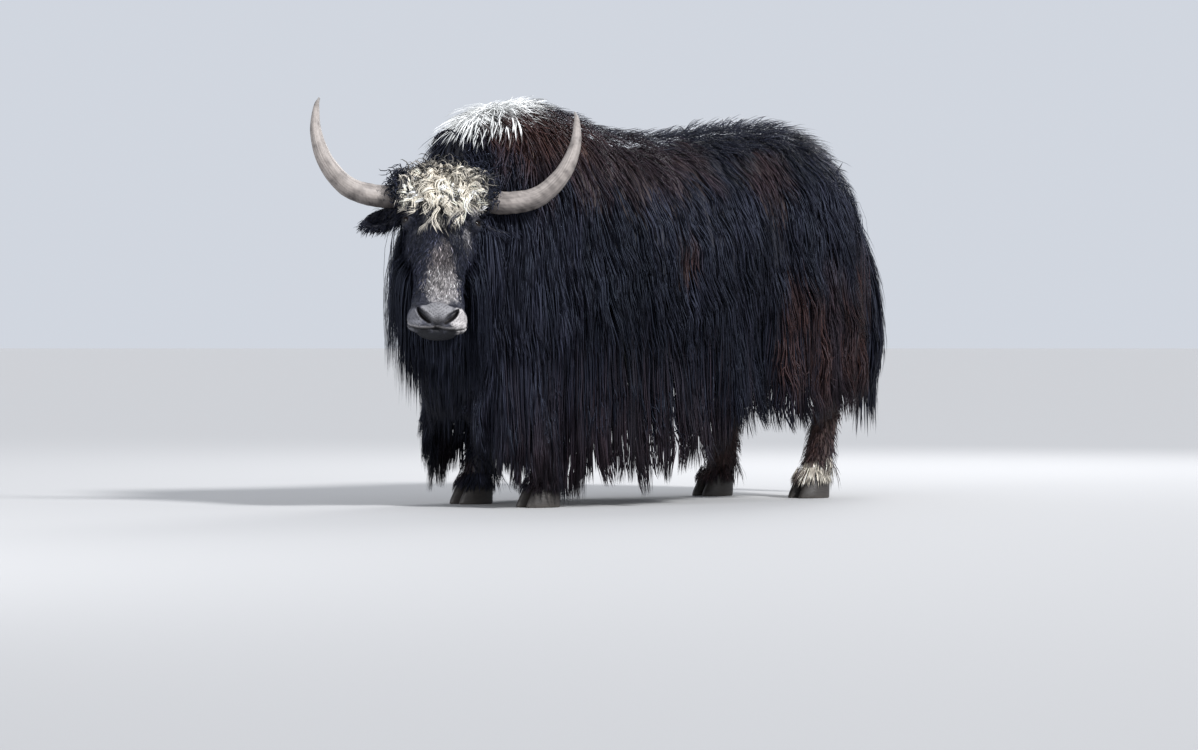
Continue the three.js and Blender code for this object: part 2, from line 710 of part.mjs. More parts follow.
// The trunk with the upper rows of locks, and the skirt with the lower ones.
const trunkCore = torso.solid(coat.depth);
const trunkCoreOuter = torso.solid(coat.depth + gap);
const halves = Object.entries(sides).map(([side, s]) => {
  const trunk = joined([trunkCore, without(coatLocks("trunk", s), ...legsOuter)]);
  const trunkOuter = joined([trunkCoreOuter, coatLocks("trunk", s, gap)]);
  const skirt = without(joined([skirtCore(s), coatLocks("skirt", s)]), trunkOuter, ...legsOuter);
  const skirtOuter = joined([skirtCore(s, gap), coatLocks("skirt", s, gap)]);
  return { side, s, trunk, skirt, outer: joined([trunkOuter, skirtOuter, coatLocks("skirt", s)]) };
});
for (const { side, s, trunk, skirt } of halves) {
  for (const [part, [from, to]] of Object.entries(blocks)) {
    const low = [s > 0 ? gap / 2 : -far, from + gap / 2, -far];
    const high = [s > 0 ? far : -gap / 2, to - gap / 2, far];
    const cut = block(low, high);
    add(`${names[part]}_${side}`, without(trunk.intersect(cut), ...headParts), "coat");
    add(`skirt_${part}_${side}`, without(skirt.intersect(cut), ...headParts), "coat");
  }
}
const bodyOuter = halves.map((half) => half.outer);
const throat = joined([neck.solid(10), maneCore.solid(), maneLocks()]);
add("neck", without(throat, ...bodyOuter, ...headParts), "coat");
for (const [place, foot] of Object.entries(feet)) {
  const shape = place.startsWith("hind") ? joined([leg(foot).solid(), fringe(foot)]) : leg(foot).solid();
  add(`leg_${place}`, without(shape, trunkCoreOuter, ...bodyOuter), "face");
  add(`hoof_${place}`, hoofBlock(foot), "hoof", 0.5);
}
add("tail", without(joined([tailCore.solid(), tailLocks()]), ...bodyOuter), "coat");

// The origin is the middle of the bottom of the whole.
const bounds = new THREE.Box3().setFromObject(yak);
const middle = bounds.getCenter(new THREE.Vector3());
yak.position.set(-middle.x, -middle.y, -bounds.min.z);
export default yak;
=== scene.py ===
import json
import math

import bmesh
import bpy
import numpy as np
from mathutils import Matrix, Vector


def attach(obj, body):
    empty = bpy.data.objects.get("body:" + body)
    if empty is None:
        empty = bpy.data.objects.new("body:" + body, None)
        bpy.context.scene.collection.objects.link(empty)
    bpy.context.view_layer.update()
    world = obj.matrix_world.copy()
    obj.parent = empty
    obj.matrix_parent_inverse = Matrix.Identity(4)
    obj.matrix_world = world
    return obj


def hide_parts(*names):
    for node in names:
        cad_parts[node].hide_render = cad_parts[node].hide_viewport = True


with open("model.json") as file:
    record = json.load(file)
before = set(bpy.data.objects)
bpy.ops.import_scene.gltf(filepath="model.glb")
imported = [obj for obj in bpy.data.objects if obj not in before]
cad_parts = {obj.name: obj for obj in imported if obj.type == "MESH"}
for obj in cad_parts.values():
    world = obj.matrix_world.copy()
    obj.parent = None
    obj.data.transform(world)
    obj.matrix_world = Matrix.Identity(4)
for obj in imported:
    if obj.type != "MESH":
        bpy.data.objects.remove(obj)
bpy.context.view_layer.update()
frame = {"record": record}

# The yak is laid out about its own middle, nose along -Y and left side along +X, in metres.
# Every mesh is then moved by "place" to where the CAD model stands.
frontLeft = (0.185, -0.555)
soles = {mount["name"]: mount["pos_m"] for mount in frame["record"]["mounts"]}
place = np.array(soles["sole_front_left"]) - np.array([*frontLeft, 0.0])
skyward = Vector((0, 0, 1))


def linked(name, data):
    thing = bpy.data.objects.new(name, data)
    bpy.context.scene.collection.objects.link(thing)
    return thing


# camera first: far off, level with the belly, left of the nose; the last four are in pixels
shot = {
    "azimuth": 50, "distance": 14.0, "height": 0.583, "sensor": 36, "farthest": 200,
    "focal": 3937, "across": 1198, "right": 36, "down": 38,
}
shotTurn = math.radians(shot["azimuth"])
towardShot = Vector((math.sin(shotTurn), -math.cos(shotTurn), 0))
rightward = Vector((math.cos(shotTurn), math.sin(shotTurn), 0))


def setCamera():
    yaw, pitch = math.atan(shot["right"] / shot["focal"]), -math.atan(shot["down"] / shot["focal"])
    level = -towardShot * math.cos(yaw) - rightward * math.sin(yaw)
    ahead = level * math.cos(pitch) + skyward * math.sin(pitch)
    data = bpy.data.cameras.new("shot")
    data.sensor_width, data.clip_end = shot["sensor"], shot["farthest"]
    data.lens = shot["sensor"] * shot["focal"] / shot["across"]
    camera = linked("shot", data)
    camera.location = Vector(place) + towardShot * shot["distance"] + skyward * shot["height"]
    camera.rotation_euler = ahead.to_track_quat("-Z", "Y").to_euler()
    bpy.context.scene.camera = camera


setCamera()
print("camera")


# small helpers on arrays of points
def unit(v):
    return v / np.maximum(np.linalg.norm(v, axis=-1, keepdims=True), 1e-12)


def mix(a, b, t):
    return a + (b - a) * t


def ease(low, high, v):
    t = np.clip((v - low) / (high - low), 0, 1)
    return t * t * (3 - 2 * t)


def stripe(v, half):
    # 1 where v is 0, and fading on both sides
    return np.exp(-((v / half) ** 2))


def between(v, low, high):
    return (v > low) & (v < high)


def near(p, centre, reach):
    # 1 at a centre, falling to 0 at an ellipsoid round it
    d = np.linalg.norm((p - np.array(centre)) / np.array(reach), axis=-1)
    return np.clip(1 - d * d, 0, 1) ** 2


def columns(*parts):
    # arrays and plain numbers side by side, as points
    return np.stack(np.broadcast_arrays(*parts), axis=-1)


def foldOver(p):
    # the right side laid on the left one
    p = p.copy()
    p[..., 0] = np.abs(p[..., 0])
    return p


def swung(flat, up, degrees):
    # two axes turned in their own plane
    c, s = math.cos(math.radians(degrees)), math.sin(math.radians(degrees))
    return flat * c + up * s, up * c - flat * s


def tones(named):
    return {name: np.array(tone) for name, tone in named.items()}


def splineAt(rows, t):
    # a smooth line through rows of numbers, read at t from 0 to 1
    rows = np.asarray(rows, float)
    rows = np.vstack([2 * rows[0] - rows[1], rows, 2 * rows[-1] - rows[-2]])
    spans = len(rows) - 3
    x = np.clip(np.asarray(t, float), 0, 1) * spans
    i = np.minimum(x.astype(int), spans - 1)
    u = (x - i)[..., None]
    a, b, c, d = rows[i], rows[i + 1], rows[i + 2], rows[i + 3]
    return 0.5 * (2 * b + (c - a) * u + (2 * a - 5 * b + 4 * c - d) * u**2 + (3 * b - a - 3 * c + d) * u**3)


def ripple(points, size, seed):
    # soft seeded waves of about this size, from -1 to 1
    pick = np.random.default_rng(seed)
    total = 0.0
    for _ in range(5):
        way = pick.normal(size=points.shape[-1])
        way *= 2 * math.pi * pick.uniform(0.6, 1.5) / (size * np.linalg.norm(way))
        total = total + np.sin(points @ way + pick.uniform(0, 6.28))
    return np.clip(total / 2.6, -1, 1)


def hashed(cells, seed):
    # a repeatable number from 0 to 1 for each whole number
    spread = np.sin(cells * 12.9898 + seed * 78.233) * 43758.5453
    return spread - np.floor(spread)


class Sweep:
    # a body length: rows of x, y, z, half width, reach up, reach down
    def __init__(self, rows, upward, along=None, square=2.2):
        self.rows = np.asarray(rows, float)
        self.upward, self.along, self.square = np.array(upward, float), along, square

    def section(self, t):
        t = np.asarray(t, float)
        row = splineAt(self.rows, t)
        middle = row[..., :3]
        if self.along is None:
            tangent = unit(splineAt(self.rows, t + 0.004)[..., :3] - splineAt(self.rows, t - 0.004)[..., :3])
        else:
            tangent = np.broadcast_to(np.array(self.along, float), middle.shape)
        up = unit(self.upward - tangent * (tangent @ self.upward)[..., None])
        return middle, tangent, up, np.cross(tangent, up), row[..., 3], row[..., 4], row[..., 5]

    def on(self, t, angle, grow=0.0, share=1.0):
        middle, tangent, up, side, wide, high, low = self.section(t)
        c, d = np.cos(angle), np.sin(angle)
        bend = 2 / self.square
        across = np.sign(c) * np.abs(c) ** bend * (wide + grow) * share
        above = np.sign(d) * np.abs(d) ** bend * (np.where(d > 0, high, low) + grow) * share
        return middle + side * across[..., None] + up * above[..., None]


class Surface:
    # a grid of points with their ways out, read at shares across and along the lie of the hair
    def __init__(self, grid, ring=False):
        self.grid, self.ring = grid, ring
        across, along = np.gradient(grid, axis=0), np.gradient(grid, axis=1)
        if ring:
            across[0] = across[-1] = (grid[1] - grid[-2]) / 2
        self.out = unit(-np.cross(across, along))
        self.reach = np.linalg.norm(np.diff(grid, axis=1), axis=2).sum(1)

    def read(self, u, v):
        u = u % 1 if self.ring else np.clip(u, 0, 1)
        n, m = self.grid.shape[0] - 1, self.grid.shape[1] - 1
        x, y = u * n, np.clip(v, 0, 1) * m
        i, j = np.minimum(x.astype(int), n - 1), np.minimum(y.astype(int), m - 1)
        a, b = (x - i)[..., None], (y - j)[..., None]

        def blend(g):
            return mix(mix(g[i, j], g[i + 1, j], a), mix(g[i, j + 1], g[i + 1, j + 1], a), b)

        at = blend(self.grid)
        at[..., 2] -= np.maximum(v - 1, 0) * self.length(u)  # past the end it goes straight down
        return at, unit(blend(self.out))

    def length(self, u):
        return np.interp(u % 1 if self.ring else u, np.linspace(0, 1, len(self.reach)), self.reach)


# the forms of the body
torsoRows = [  # y, top, level, bottom, half width
    (-0.840, 1.215, 0.930, 0.720, 0.090),
    (-0.800, 1.295, 0.915, 0.620, 0.150),
    (-0.700, 1.362, 0.900, 0.520, 0.212),
    (-0.570, 1.385, 0.870, 0.460, 0.265),
    (-0.400, 1.340, 0.850, 0.440, 0.290),
    (-0.170, 1.262, 0.840, 0.425, 0.320),
    (0.090, 1.262, 0.840, 0.420, 0.335),
    (0.330, 1.302, 0.850, 0.450, 0.325),
    (0.560, 1.328, 0.870, 0.500, 0.300),
    (0.760, 1.288, 0.880, 0.560, 0.265),
    (0.870, 1.190, 0.880, 0.620, 0.200),
    (0.930, 1.040, 0.880, 0.720, 0.110),
]
torso = Sweep([(0, y, m, w, t - m, m - b) for y, t, m, b, w in torsoRows], (0, 0, 1), along=(0, 1, 0))
neck = Sweep([
    (0.000, -0.600, 0.960, 0.190, 0.250, 0.300),
    (0.006, -0.730, 0.950, 0.180, 0.250, 0.300),
    (0.042, -0.845, 0.955, 0.152, 0.215, 0.260),
    (0.088, -0.925, 0.970, 0.112, 0.135, 0.190),
], (0, 0, 1))
foreLeg = [  # z, y, half width, reach to the front, reach to the back
    (0.660, 0.030, 0.078, 0.105, 0.110),
    (0.560, 0.020, 0.070, 0.084, 0.092),
    (0.450, 0.006, 0.058, 0.062, 0.070),
    (0.340, -0.006, 0.056, 0.060, 0.058),
    (0.240, 0.000, 0.046, 0.046, 0.050),
    (0.140, 0.000, 0.054, 0.052, 0.058),
    (0.078, -0.018, 0.052, 0.052, 0.054),
]
hindLeg = [
    (0.760, -0.020, 0.096, 0.180, 0.112),
    (0.640, -0.006, 0.086, 0.136, 0.100),
    (0.520, 0.034, 0.066, 0.088, 0.084),
    (0.420, 0.072, 0.056, 0.064, 0.062),
    (0.300, 0.048, 0.048, 0.052, 0.052),
    (0.150, 0.014, 0.054, 0.052, 0.058),
    (0.078, -0.010, 0.052, 0.052, 0.054),
]
feet = {
    "front_left": (*frontLeft, foreLeg),
    "front_right": (-0.185, -0.560, foreLeg),
    "hind_left": (0.185, 0.700, hindLeg),
    "hind_right": (-0.185, 0.560, hindLeg),
}
legs = {
    name: Sweep([(x, y + dy, z, w, f, b) for z, dy, w, f, b in rows], (0, -1, 0), along=(0, 0, -1))
    for name, (x, y, rows) in feet.items()
}
dock = Sweep([
    (0.000, 0.850, 1.120, 0.040, 0.038, 0.038),
    (0.004, 0.935, 1.085, 0.036, 0.034, 0.034),
    (0.016, 0.985, 0.980, 0.030, 0.028, 0.028),
    (0.028, 1.000, 0.850, 0.025, 0.022, 0.022),
    (0.034, 0.998, 0.720, 0.014, 0.012, 0.012),
], (0, 1, 0.2))

# the head has a frame of its own: left is x, back is y, and the muzzle is at -z from the poll
headPose = {"turn": 54, "pitch": 67, "roll": 3, "poll": (0.095, -0.927, 1.118)}
turn, pitch, roll = (math.radians(headPose[key]) for key in ("turn", "pitch", "roll"))
facing = Vector((math.sin(turn), -math.cos(turn), 0))
leftward = Vector((math.cos(turn), math.sin(turn), 0))
headBack = -facing * math.sin(pitch) - skyward * math.cos(pitch)
headUp = -facing * math.cos(pitch) + skyward * math.sin(pitch)
rolled = Matrix.Rotation(-roll, 3, facing)
headAxes = np.array(rolled @ Matrix((leftward, headBack, headUp)).transposed())
poll = np.array(headPose["poll"])


def fromHead(points):
    return np.asarray(points, float) @ headAxes.T + poll


def toHead(points):
    return (np.asarray(points, float) - poll) @ headAxes


skullRows = [  # down the face, reach to the forehead, reach to the jaw, half width
    (-0.018, 0.040, 0.060, 0.062),
    (0.025, 0.062, 0.105, 0.104),
    (0.095, 0.070, 0.135, 0.118),
    (0.165, 0.068, 0.158, 0.117),
    (0.250, 0.060, 0.155, 0.100),
    (0.340, 0.052, 0.128, 0.080),
    (0.415, 0.050, 0.096, 0.076),
    (0.465, 0.054, 0.080, 0.088),
    (0.512, 0.050, 0.066, 0.090),
    (0.535, 0.034, 0.044, 0.066),
]
skull = Sweep([(0, 0, -d, w, o, i) for d, o, i, w in skullRows], (0, -1, 0), along=(0, 0, -1), square=2.3)


# modelling helpers
def loft(bm, rings):
    # a closed tube through rings of points
    loops = []
    for ring in rings:
        made = bmesh.ops.create_circle(bm, segments=len(ring), radius=1)["verts"]
        for vert, point in zip(made, ring):
            vert.co = point
        loops.append(list({edge for vert in made for edge in vert.link_edges}))
    for a, b in zip(loops, loops[1:]):
        bmesh.ops.bridge_loops(bm, edges=a + b)
    bmesh.ops.edgeloop_fill(bm, edges=loops[0])
    bmesh.ops.edgeloop_fill(bm, edges=loops[-1])


def sweepForm(bm, sweep, rings, around, grow=0.0, ends=0.7):
    # a sweep with its two ends drawn in a little
    angles = np.linspace(0, 2 * math.pi, around, endpoint=False)
    stops = [(0, ends)] + [(t, 1) for t in np.linspace(0.02, 0.98, rings)] + [(1, ends)]
    loft(bm, [sweep.on(np.full(around, t), angles, grow, share) for t, share in stops])


def turned(degrees):
    made = Matrix.Identity(4)
    for axis, angle in zip("XYZ", degrees):
        made = made @ Matrix.Rotation(math.radians(angle), 4, axis)
    return made


def oval(bm, halves, at, turns=(0, 0, 0), detail=(20, 12)):
    made = bmesh.ops.create_uvsphere(bm, u_segments=detail[0], v_segments=detail[1], radius=1)["verts"]
    spot = Matrix.Translation(at) @ turned(turns) @ Matrix.Diagonal((*halves, 1))
    bmesh.ops.transform(bm, matrix=spot, verts=made)
    return made


def meshOf(name, bm):
    mesh = bpy.data.meshes.new(name)
    bm.to_mesh(mesh)
    bm.free()
    return mesh


def evaluated(bm, stack):
    # the mesh after a stack of modifiers, as a new bmesh
    mesh = meshOf("work", bm)
    holder = linked("work", mesh)
    for kind, values in stack:
        modifier = holder.modifiers.new(kind, kind)
        for key, value in values.items():
            setattr(modifier, key, value)
    bpy.context.view_layer.update()
    ready = holder.evaluated_get(bpy.context.evaluated_depsgraph_get())
    result = bmesh.new()
    result.from_mesh(ready.to_mesh())
    ready.to_mesh_clear()
    bpy.data.objects.remove(holder)
    bpy.data.meshes.remove(mesh)
    return result


def fused(bm, voxel, rounds):
    # separate forms run together into one closed and smoothed mesh
    bmesh.ops.recalc_face_normals(bm, faces=bm.faces)
    remesh = ("REMESH", {"mode": "VOXEL", "voxel_size": voxel})
    return evaluated(bm, [remesh, ("SMOOTH", {"factor": 0.5, "iterations": rounds})])


def points(bm):
    return np.array([vert.co for vert in bm.verts])


def setPoints(bm, moved):
    for vert, point in zip(bm.verts, moved):
        vert.co = point


def ridden(name, mesh, material, replaced):
    mesh.materials.append(material)
    piece = linked(name, mesh)
    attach(piece, "root")
    if replaced:
        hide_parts(*replaced)
    return piece


def makePiece(name, bm, material, replaced):
    bmesh.ops.translate(bm, vec=Vector(place), verts=bm.verts)
    mesh = meshOf(name, bm)
    mesh.polygons.foreach_set("use_smooth", [True] * len(mesh.polygons))
    return ridden(name, mesh, material, replaced)


def addMap(mesh, name, uv):
    layer = mesh.uv_layers.new(name=name)
    layer.data.foreach_set("uv", uv.astype(np.float32).ravel())


def paint(piece, colours):
    # colours at the mesh's own points, kept as an attribute that the material reads
    layer = piece.data.color_attributes.new(name="tint", type="FLOAT_COLOR", domain="POINT")
    full = np.ones((len(colours), 4))
    full[:, :3] = colours
    layer.data.foreach_set("color", full.astype(np.float32).ravel())


def coords(piece):
    flat = np.empty(len(piece.data.vertices) * 3, np.float32)
    piece.data.vertices.foreach_get("co", flat)
    return flat.reshape(-1, 3).astype(float) - place


# markings: one set of colours for skin and coat, with painted shade and painted sheen among the marks
pelt = tones({
    # the coat's own black, with a painted blue reflection of the sky in it
    "black": (0.0080, 0.0086, 0.0150),
    # painted shade, for the valley on the flank, the skirt under the belly and the underside of the chin
    "ink": (0.0035, 0.0042, 0.0080),
    "rust": (0.040, 0.018, 0.013),
    "umber": (0.020, 0.011, 0.011),
    "sepia": (0.045, 0.024, 0.019),
    # a lighter blue black: painted sheen of the sky, for the mane, the upper flank, the thigh and the face
    "steel": (0.0165, 0.0180, 0.0290),
    "white": (0.66, 0.67, 0.66),
    "cream": (0.66, 0.61, 0.52),
    "smoke": (0.155, 0.135, 0.130),
    "ash": (0.40, 0.38, 0.38),
    "slate": (0.060, 0.062, 0.082),
    "pad": (0.185, 0.183, 0.195),
    "bare": (0.006, 0.005, 0.006),
})
bodyMarks = [  # colour, middle, reach, strength; x is the distance from the spine
    # painted sheen on the mane, the upper flank and the thigh
    ("steel", (0.20, -0.72, 0.70), (0.22, 0.26, 0.55), 0.8),
    ("steel", (0.32, 0.04, 1.00), (0.22, 0.30, 0.22), 0.75),
    ("steel", (0.24, 0.76, 0.92), (0.24, 0.24, 0.34), 0.75),
    # painted shade in the valley behind the mass of hair before the foreleg, and on the skirt under the belly
    ("ink", (0.32, -0.30, 0.55), (0.20, 0.17, 0.50), 0.85),
    ("ink", (0.33, 0.10, 0.30), (0.20, 0.50, 0.24), 0.6),
    ("rust", (0.24, -0.28, 1.17), (0.17, 0.48, 0.20), 0.45),
    ("rust", (0.15, -0.55, 1.25), (0.17, 0.24, 0.13), 0.9),
    ("rust", (0.27, 0.41, 1.10), (0.12, 0.110, 0.14), 0.45),
    ("rust", (0.34, -0.035, 0.79), (0.09, 0.050, 0.07), 0.8),
    ("umber", (0.28, 0.72, 0.50), (0.20, 0.26, 0.30), 0.7),
    ("rust", (0.33, 0.52, 0.49), (0.15, 0.16, 0.22), 0.75),
    ("rust", (0.26, 0.86, 0.54), (0.16, 0.14, 0.26), 0.95),
    ("umber", (0.33, -0.10, 0.06), (0.20, 0.80, 0.17), 0.8),
    ("sepia", (0.17, 0.63, 0.22), (0.12, 0.22, 0.26), 0.8),
    ("white", (0.0, -0.700, 1.405), (0.172, 0.240, 0.126), 1.0),
]
headMarks = [  # the same, in the head's own frame
    # painted sheen on the middle of the face
    ("steel", (0.0, -0.02, -0.30), (0.17, 0.13, 0.22), 0.75),
    ("cream", (0.006, -0.070, -0.050), (0.118, 0.090, 0.080), 1.0),
    ("smoke", (0.008, -0.070, -0.360), (0.050, 0.060, 0.095), 0.6),
    ("ash", (0.012, -0.060, -0.415), (0.062, 0.050, 0.075), 0.55),
    ("slate", (0.0, -0.010, -0.545), (0.130, 0.085, 0.062), 1.0),
    # painted light: the lit left side of the muzzle is light grey, and the shaded right side is only a little
    # lighter than the slate
    ("ash", (0.080, -0.040, -0.545), (0.036, 0.070, 0.044), 0.95),
    ("pad", (-0.074, -0.040, -0.545), (0.030, 0.060, 0.034), 0.4),
    ("pad", (0.0, -0.085, -0.520), (0.058, 0.050, 0.040), 0.9),
    # painted shade under the chin
    ("ink", (0.0, 0.020, -0.606), (0.120, 0.120, 0.050), 1.0),
    # painted highlight on the lit left brow, over the eye
    ("ash", (0.104, -0.055, -0.142), (0.024, 0.034, 0.015), 0.6),
    ("ash", (0.088, -0.045, -0.235), (0.014, 0.040, 0.045), 0.35),
]
pastern = [("cream", (0.185, 0.715, 0.085), (0.09, 0.10, 0.06), 0.85)]  # of the left hind foot alone
calm = {"white": 0.5, "pad": 0.4}  # marks with a straighter edge


def marked(colour, p, marks, full, end, wander, shown=1):
    # each mark is full up to one share of its reach, and gone at the other
    for name, middle, reach, strength in marks:
        d = np.linalg.norm((p - np.array(middle)) / np.array(reach), axis=-1) + wander * calm.get(name, 1)
        colour = mix(colour, pelt[name], (strength * ease(end, full, d) * shown)[..., None])
    return colour


def markings(p):
    wander = 0.22 * ripple(p, 0.16, 3) + 0.12 * ripple(p, 0.05, 4)
    colour = marked(np.broadcast_to(pelt["black"], p.shape), foldOver(p), bodyMarks, 0.78, 1.12, wander)
    local = toHead(p)
    onHead = near(local, (0, 0, -0.25), (0.32, 0.32, 0.50)) > 0
    wander = 0.18 * ripple(p, 0.035, 5) + 0.10 * ripple(p, 0.014, 6)
    colour = marked(colour, local, headMarks, 0.80, 1.15, wander, onHead)
    return marked(colour, p, pastern, 0.7, 1.1, wander)


# materials: a noise, stretched along a map or the body, shades the tint attribute and gives the bump
patterns = {  # map, stretch, detail, darkest and lightest shade, bump, its depth, roughness, specular
    "long_coat": ("strand", (9, 2.5, 1), 3, 0.45, 1.6, 0.4, 0.001, 0.46, 0.26),
    "curly_coat": ("strand", (9, 2.5, 1), 3, 0.45, 1.6, 0.4, 0.001, 0.55, 0.3),
    "face_coat": ("strand", (9, 2.5, 1), 3, 0.45, 1.6, 0.4, 0.001, 0.58, 0.25),
    "short_coat": (None, (260, 260, 60), 4, 0.5, 1.5, 0.6, 0.002, 0.62, 0.35),
    "horn_keratin": ("grain", (40, 5, 1), 5, 0.35, 1.65, 0.6, 0.002, 0.52, 0.35),
    "hoof_horn": (None, (40, 40, 260), 3, 0.6, 1.4, 0.4, 0.002, 0.5, 0.4),
    "eye_wet": (None, (900, 900, 900), 2, 0.8, 1.2, 0.0, 0.0005, 0.08, 0.22),
}
sheen = {"Specular Tint": (0.62, 0.74, 1.0, 1)}
wetness = {"Coat Weight": 0.15, "Coat Roughness": 0.03}


def plainMaterial(name, roughness, specular, more):
    material = bpy.data.materials.new(name)
    material.use_nodes = True
    shader = material.node_tree.nodes["Principled BSDF"]
    for key, value in {"Roughness": roughness, "Specular IOR Level": specular, **more}.items():
        shader.inputs[key].default_value = value
    return material, material.node_tree, shader


def makeMaterial(name, more={}):
    uvMap, stretch, detail, low, high, strength, depth, roughness, specular = patterns[name]
    material, tree, shader = plainMaterial(name, roughness, specular, more)

    def added(kind, plugs={}, **values):
        node = tree.nodes.new("ShaderNode" + kind)
        for key, value in values.items():
            setattr(node, key, value)
        for key, value in plugs.items():
            if isinstance(value, bpy.types.NodeSocket):
                tree.links.new(value, node.inputs[key])
            else:
                node.inputs[key].default_value = value
        return node.outputs

    lie = added("UVMap", uv_map=uvMap)["UV"] if uvMap else added("TexCoord")["Object"]
    spot = added("Mapping", {"Vector": lie, "Scale": stretch})["Vector"]
    noise = added("TexNoise", {"Vector": spot, "Scale": 1.0, "Detail": detail})["Fac"]
    span = added("MapRange", {"Value": noise, "To Min": low, "To Max": high})["Result"]
    tint = added("Attribute", attribute_name="tint")["Color"]
    shade = added("VectorMath", {0: tint, "Scale": span}, operation="SCALE")["Vector"]
    relief = added("Bump", {"Height": noise, "Strength": strength, "Distance": depth})["Normal"]
    tree.links.new(shade, shader.inputs["Base Color"])
    tree.links.new(relief, shader.inputs["Normal"])
    return material


longHair = makeMaterial("long_coat", sheen)
curlHair = makeMaterial("curly_coat", sheen)
shortHair = makeMaterial("face_coat", sheen)


# skin: body, neck, legs and dock run together, then the head joins them
skinForm = {"bodyVoxel": 0.016, "headVoxel": 0.0045, "bodySmooth": 6, "headSmooth": 5}
legBends = {"front": (-0.006, 0.345), "hind": (0.072, 0.425)}  # knee and hock: back from the foot, height
eyes = {
    "at": (0.1100, -0.0280, -0.176), "radius": 0.0200, "tilt": 16, "forward": 42,
    "long": 0.0215, "tall": 0.0125, "low": 0.001,
}
eyeTurn = math.radians(eyes["forward"])
eyeWay = np.array([math.cos(eyeTurn), -math.sin(eyeTurn), 0])
eyeSpot = np.array(eyes["at"])
eyeBack = np.array([-eyeWay[1], eyeWay[0], 0])
eyeFront = eyeSpot + 0.012 * eyeWay
nostrils = {  # cut and dark: reach along, reach across, how much deeper
    "at": (0.0485, -0.068, -0.5360), "slant": 40, "hook": 6, "deep": 0.045,
    "cut": (0.035, 0.0115, 0.0), "dark": (0.034, 0.0120, 0.012),
}
mouthLine = {"height": -0.5760, "front": -0.050, "rise": 0.80}


def eyeOpening(folded):
    # from the middle of the eye, 1 on the edges of its lids, and the height over its long axis
    local = folded - eyeSpot
    along, across = swung(local @ eyeBack, local[:, 2], eyes["tilt"])
    edge = np.sqrt((along / eyes["long"]) ** 2 + ((across + eyes["low"]) / eyes["tall"]) ** 2)
    return local, edge, across


def nostrilShare(folded, half, slot, back):
    # 0 in the middle of a nostril and 1 on its edge: a long comma that slants down to the middle
    local = folded - (np.array(nostrils["at"]) + np.array([0, back, 0]))
    along, across = swung(local[:, 0], local[:, 2], nostrils["slant"])
    across = across - nostrils["hook"] * np.clip(along, 0, 1) ** 2
    return np.sqrt((along / half) ** 2 + (across / slot) ** 2 + (local[:, 1] / nostrils["deep"]) ** 2)


def overMouth(folded):
    # the height over a line that drops to the corners of the mouth
    return folded[:, 2] - (mouthLine["height"] + mouthLine["rise"] * (folded[:, 1] - mouthLine["front"]))


def bodyForm():
    bm = bmesh.new()
    sweepForm(bm, torso, 36, 40, -0.002)
    sweepForm(bm, neck, 14, 32, -0.004)
    sweepForm(bm, dock, 16, 16, -0.004)
    for name, sweep in legs.items():
        sweepForm(bm, sweep, 30, 24, -0.004, ends=0.92)
        x, y, rows = feet[name]
        lean, height = legBends[name.split("_")[0]]
        oval(bm, (0.050, 0.056, 0.050), (x, y + lean - 0.004, height))
        for side in (-1, 1):  # dewclaws
            oval(bm, (0.014, 0.016, 0.022), (x + side * 0.028, y + 0.052, 0.118), (25, 0, 0), (12, 8))
    for side in (-1, 1):  # shoulder blades and hips
        oval(bm, (0.07, 0.15, 0.26), (side * 0.165, -0.545, 0.92), (-14, 0, 0))
        oval(bm, (0.09, 0.19, 0.21), (side * 0.175, 0.63, 0.98), (20, 0, 0))
    bm = fused(bm, skinForm["bodyVoxel"], skinForm["bodySmooth"])
    low = [e for e in bm.edges if e.verts[0].co.z < 0.50 and e.verts[1].co.z < 0.50]
    bmesh.ops.subdivide_edges(bm, edges=low, cuts=1, use_grid_fill=True, smooth=0.6)
    return bm


sideForms = [  # halves, middle, turns, on both sides of the head
    ((0.032, 0.025, 0.032), (0.091, -0.042, -0.146), (20, 0, 0)),  # brow
    ((0.026, 0.072, 0.100), (0.090, 0.058, -0.225), (-8, 0, 0)),  # cheek
    ((0.022, 0.020, 0.085), (0.066, -0.018, -0.290), (0, 12, 0)),  # cheekbone
    ((0.030, 0.034, 0.030), (0.106, -0.027, -0.176), (0, 0, 0)),  # lids
    ((0.040, 0.030, 0.036), (0.054, -0.046, -0.522), (10, 0, 18)),  # wing of the nostril
    ((0.052, 0.050, 0.028), (0.049, -0.018, -0.550), (14, 0, 0)),  # upper lip
    ((0.030, 0.050, 0.044), (0.071, 0.000, -0.520), (0, 0, 0)),  # side of the muzzle
    ((0.058, 0.054, 0.052), (0.112, -0.008, -0.052), (0, 0, 0)),  # root of the horn
]
middleForms = [
    ((0.056, 0.040, 0.040), (0, -0.052, -0.520), (12, 0, 0)),  # pad of the nose
    ((0.066, 0.050, 0.024), (0, 0.010, -0.564), (14, 0, 0)),  # chin and lower lip
    ((0.040, 0.018, 0.150), (0, -0.036, -0.330), (2, 0, 0)),  # bone of the nose
]
earForm = {
    "halves": (0.086, 0.021, 0.043), "at": (0.186, 0.068, -0.126), "turns": (-20, 14, 12), "taper": 0.30,
    "hollow": (0.006, 0.066, 0.031), "front": 0.028, "back": 0.016,
}


def makeEar(bm, side):
    # narrower to the tip, and hollow to the front
    ear = oval(bm, earForm["halves"], (0, 0, 0), detail=(36, 20))
    middle, wide, tall = earForm["hollow"]
    for vert in ear:
        vert.co.z *= 1 - earForm["taper"] * max(vert.co.x / earForm["halves"][0], 0) ** 1.5
        cup = max(0, 1 - ((vert.co.x - middle) / wide) ** 2 - (vert.co.z / tall) ** 2)
        if vert.co.y < 0:
            vert.co.y += earForm["front"] * cup
        vert.co.y += earForm["back"] * cup
    spot = Matrix.Diagonal((side, 1, 1, 1)) @ Matrix.Translation(earForm["at"]) @ turned(earForm["turns"])
    bmesh.ops.transform(bm, matrix=spot, verts=ear)


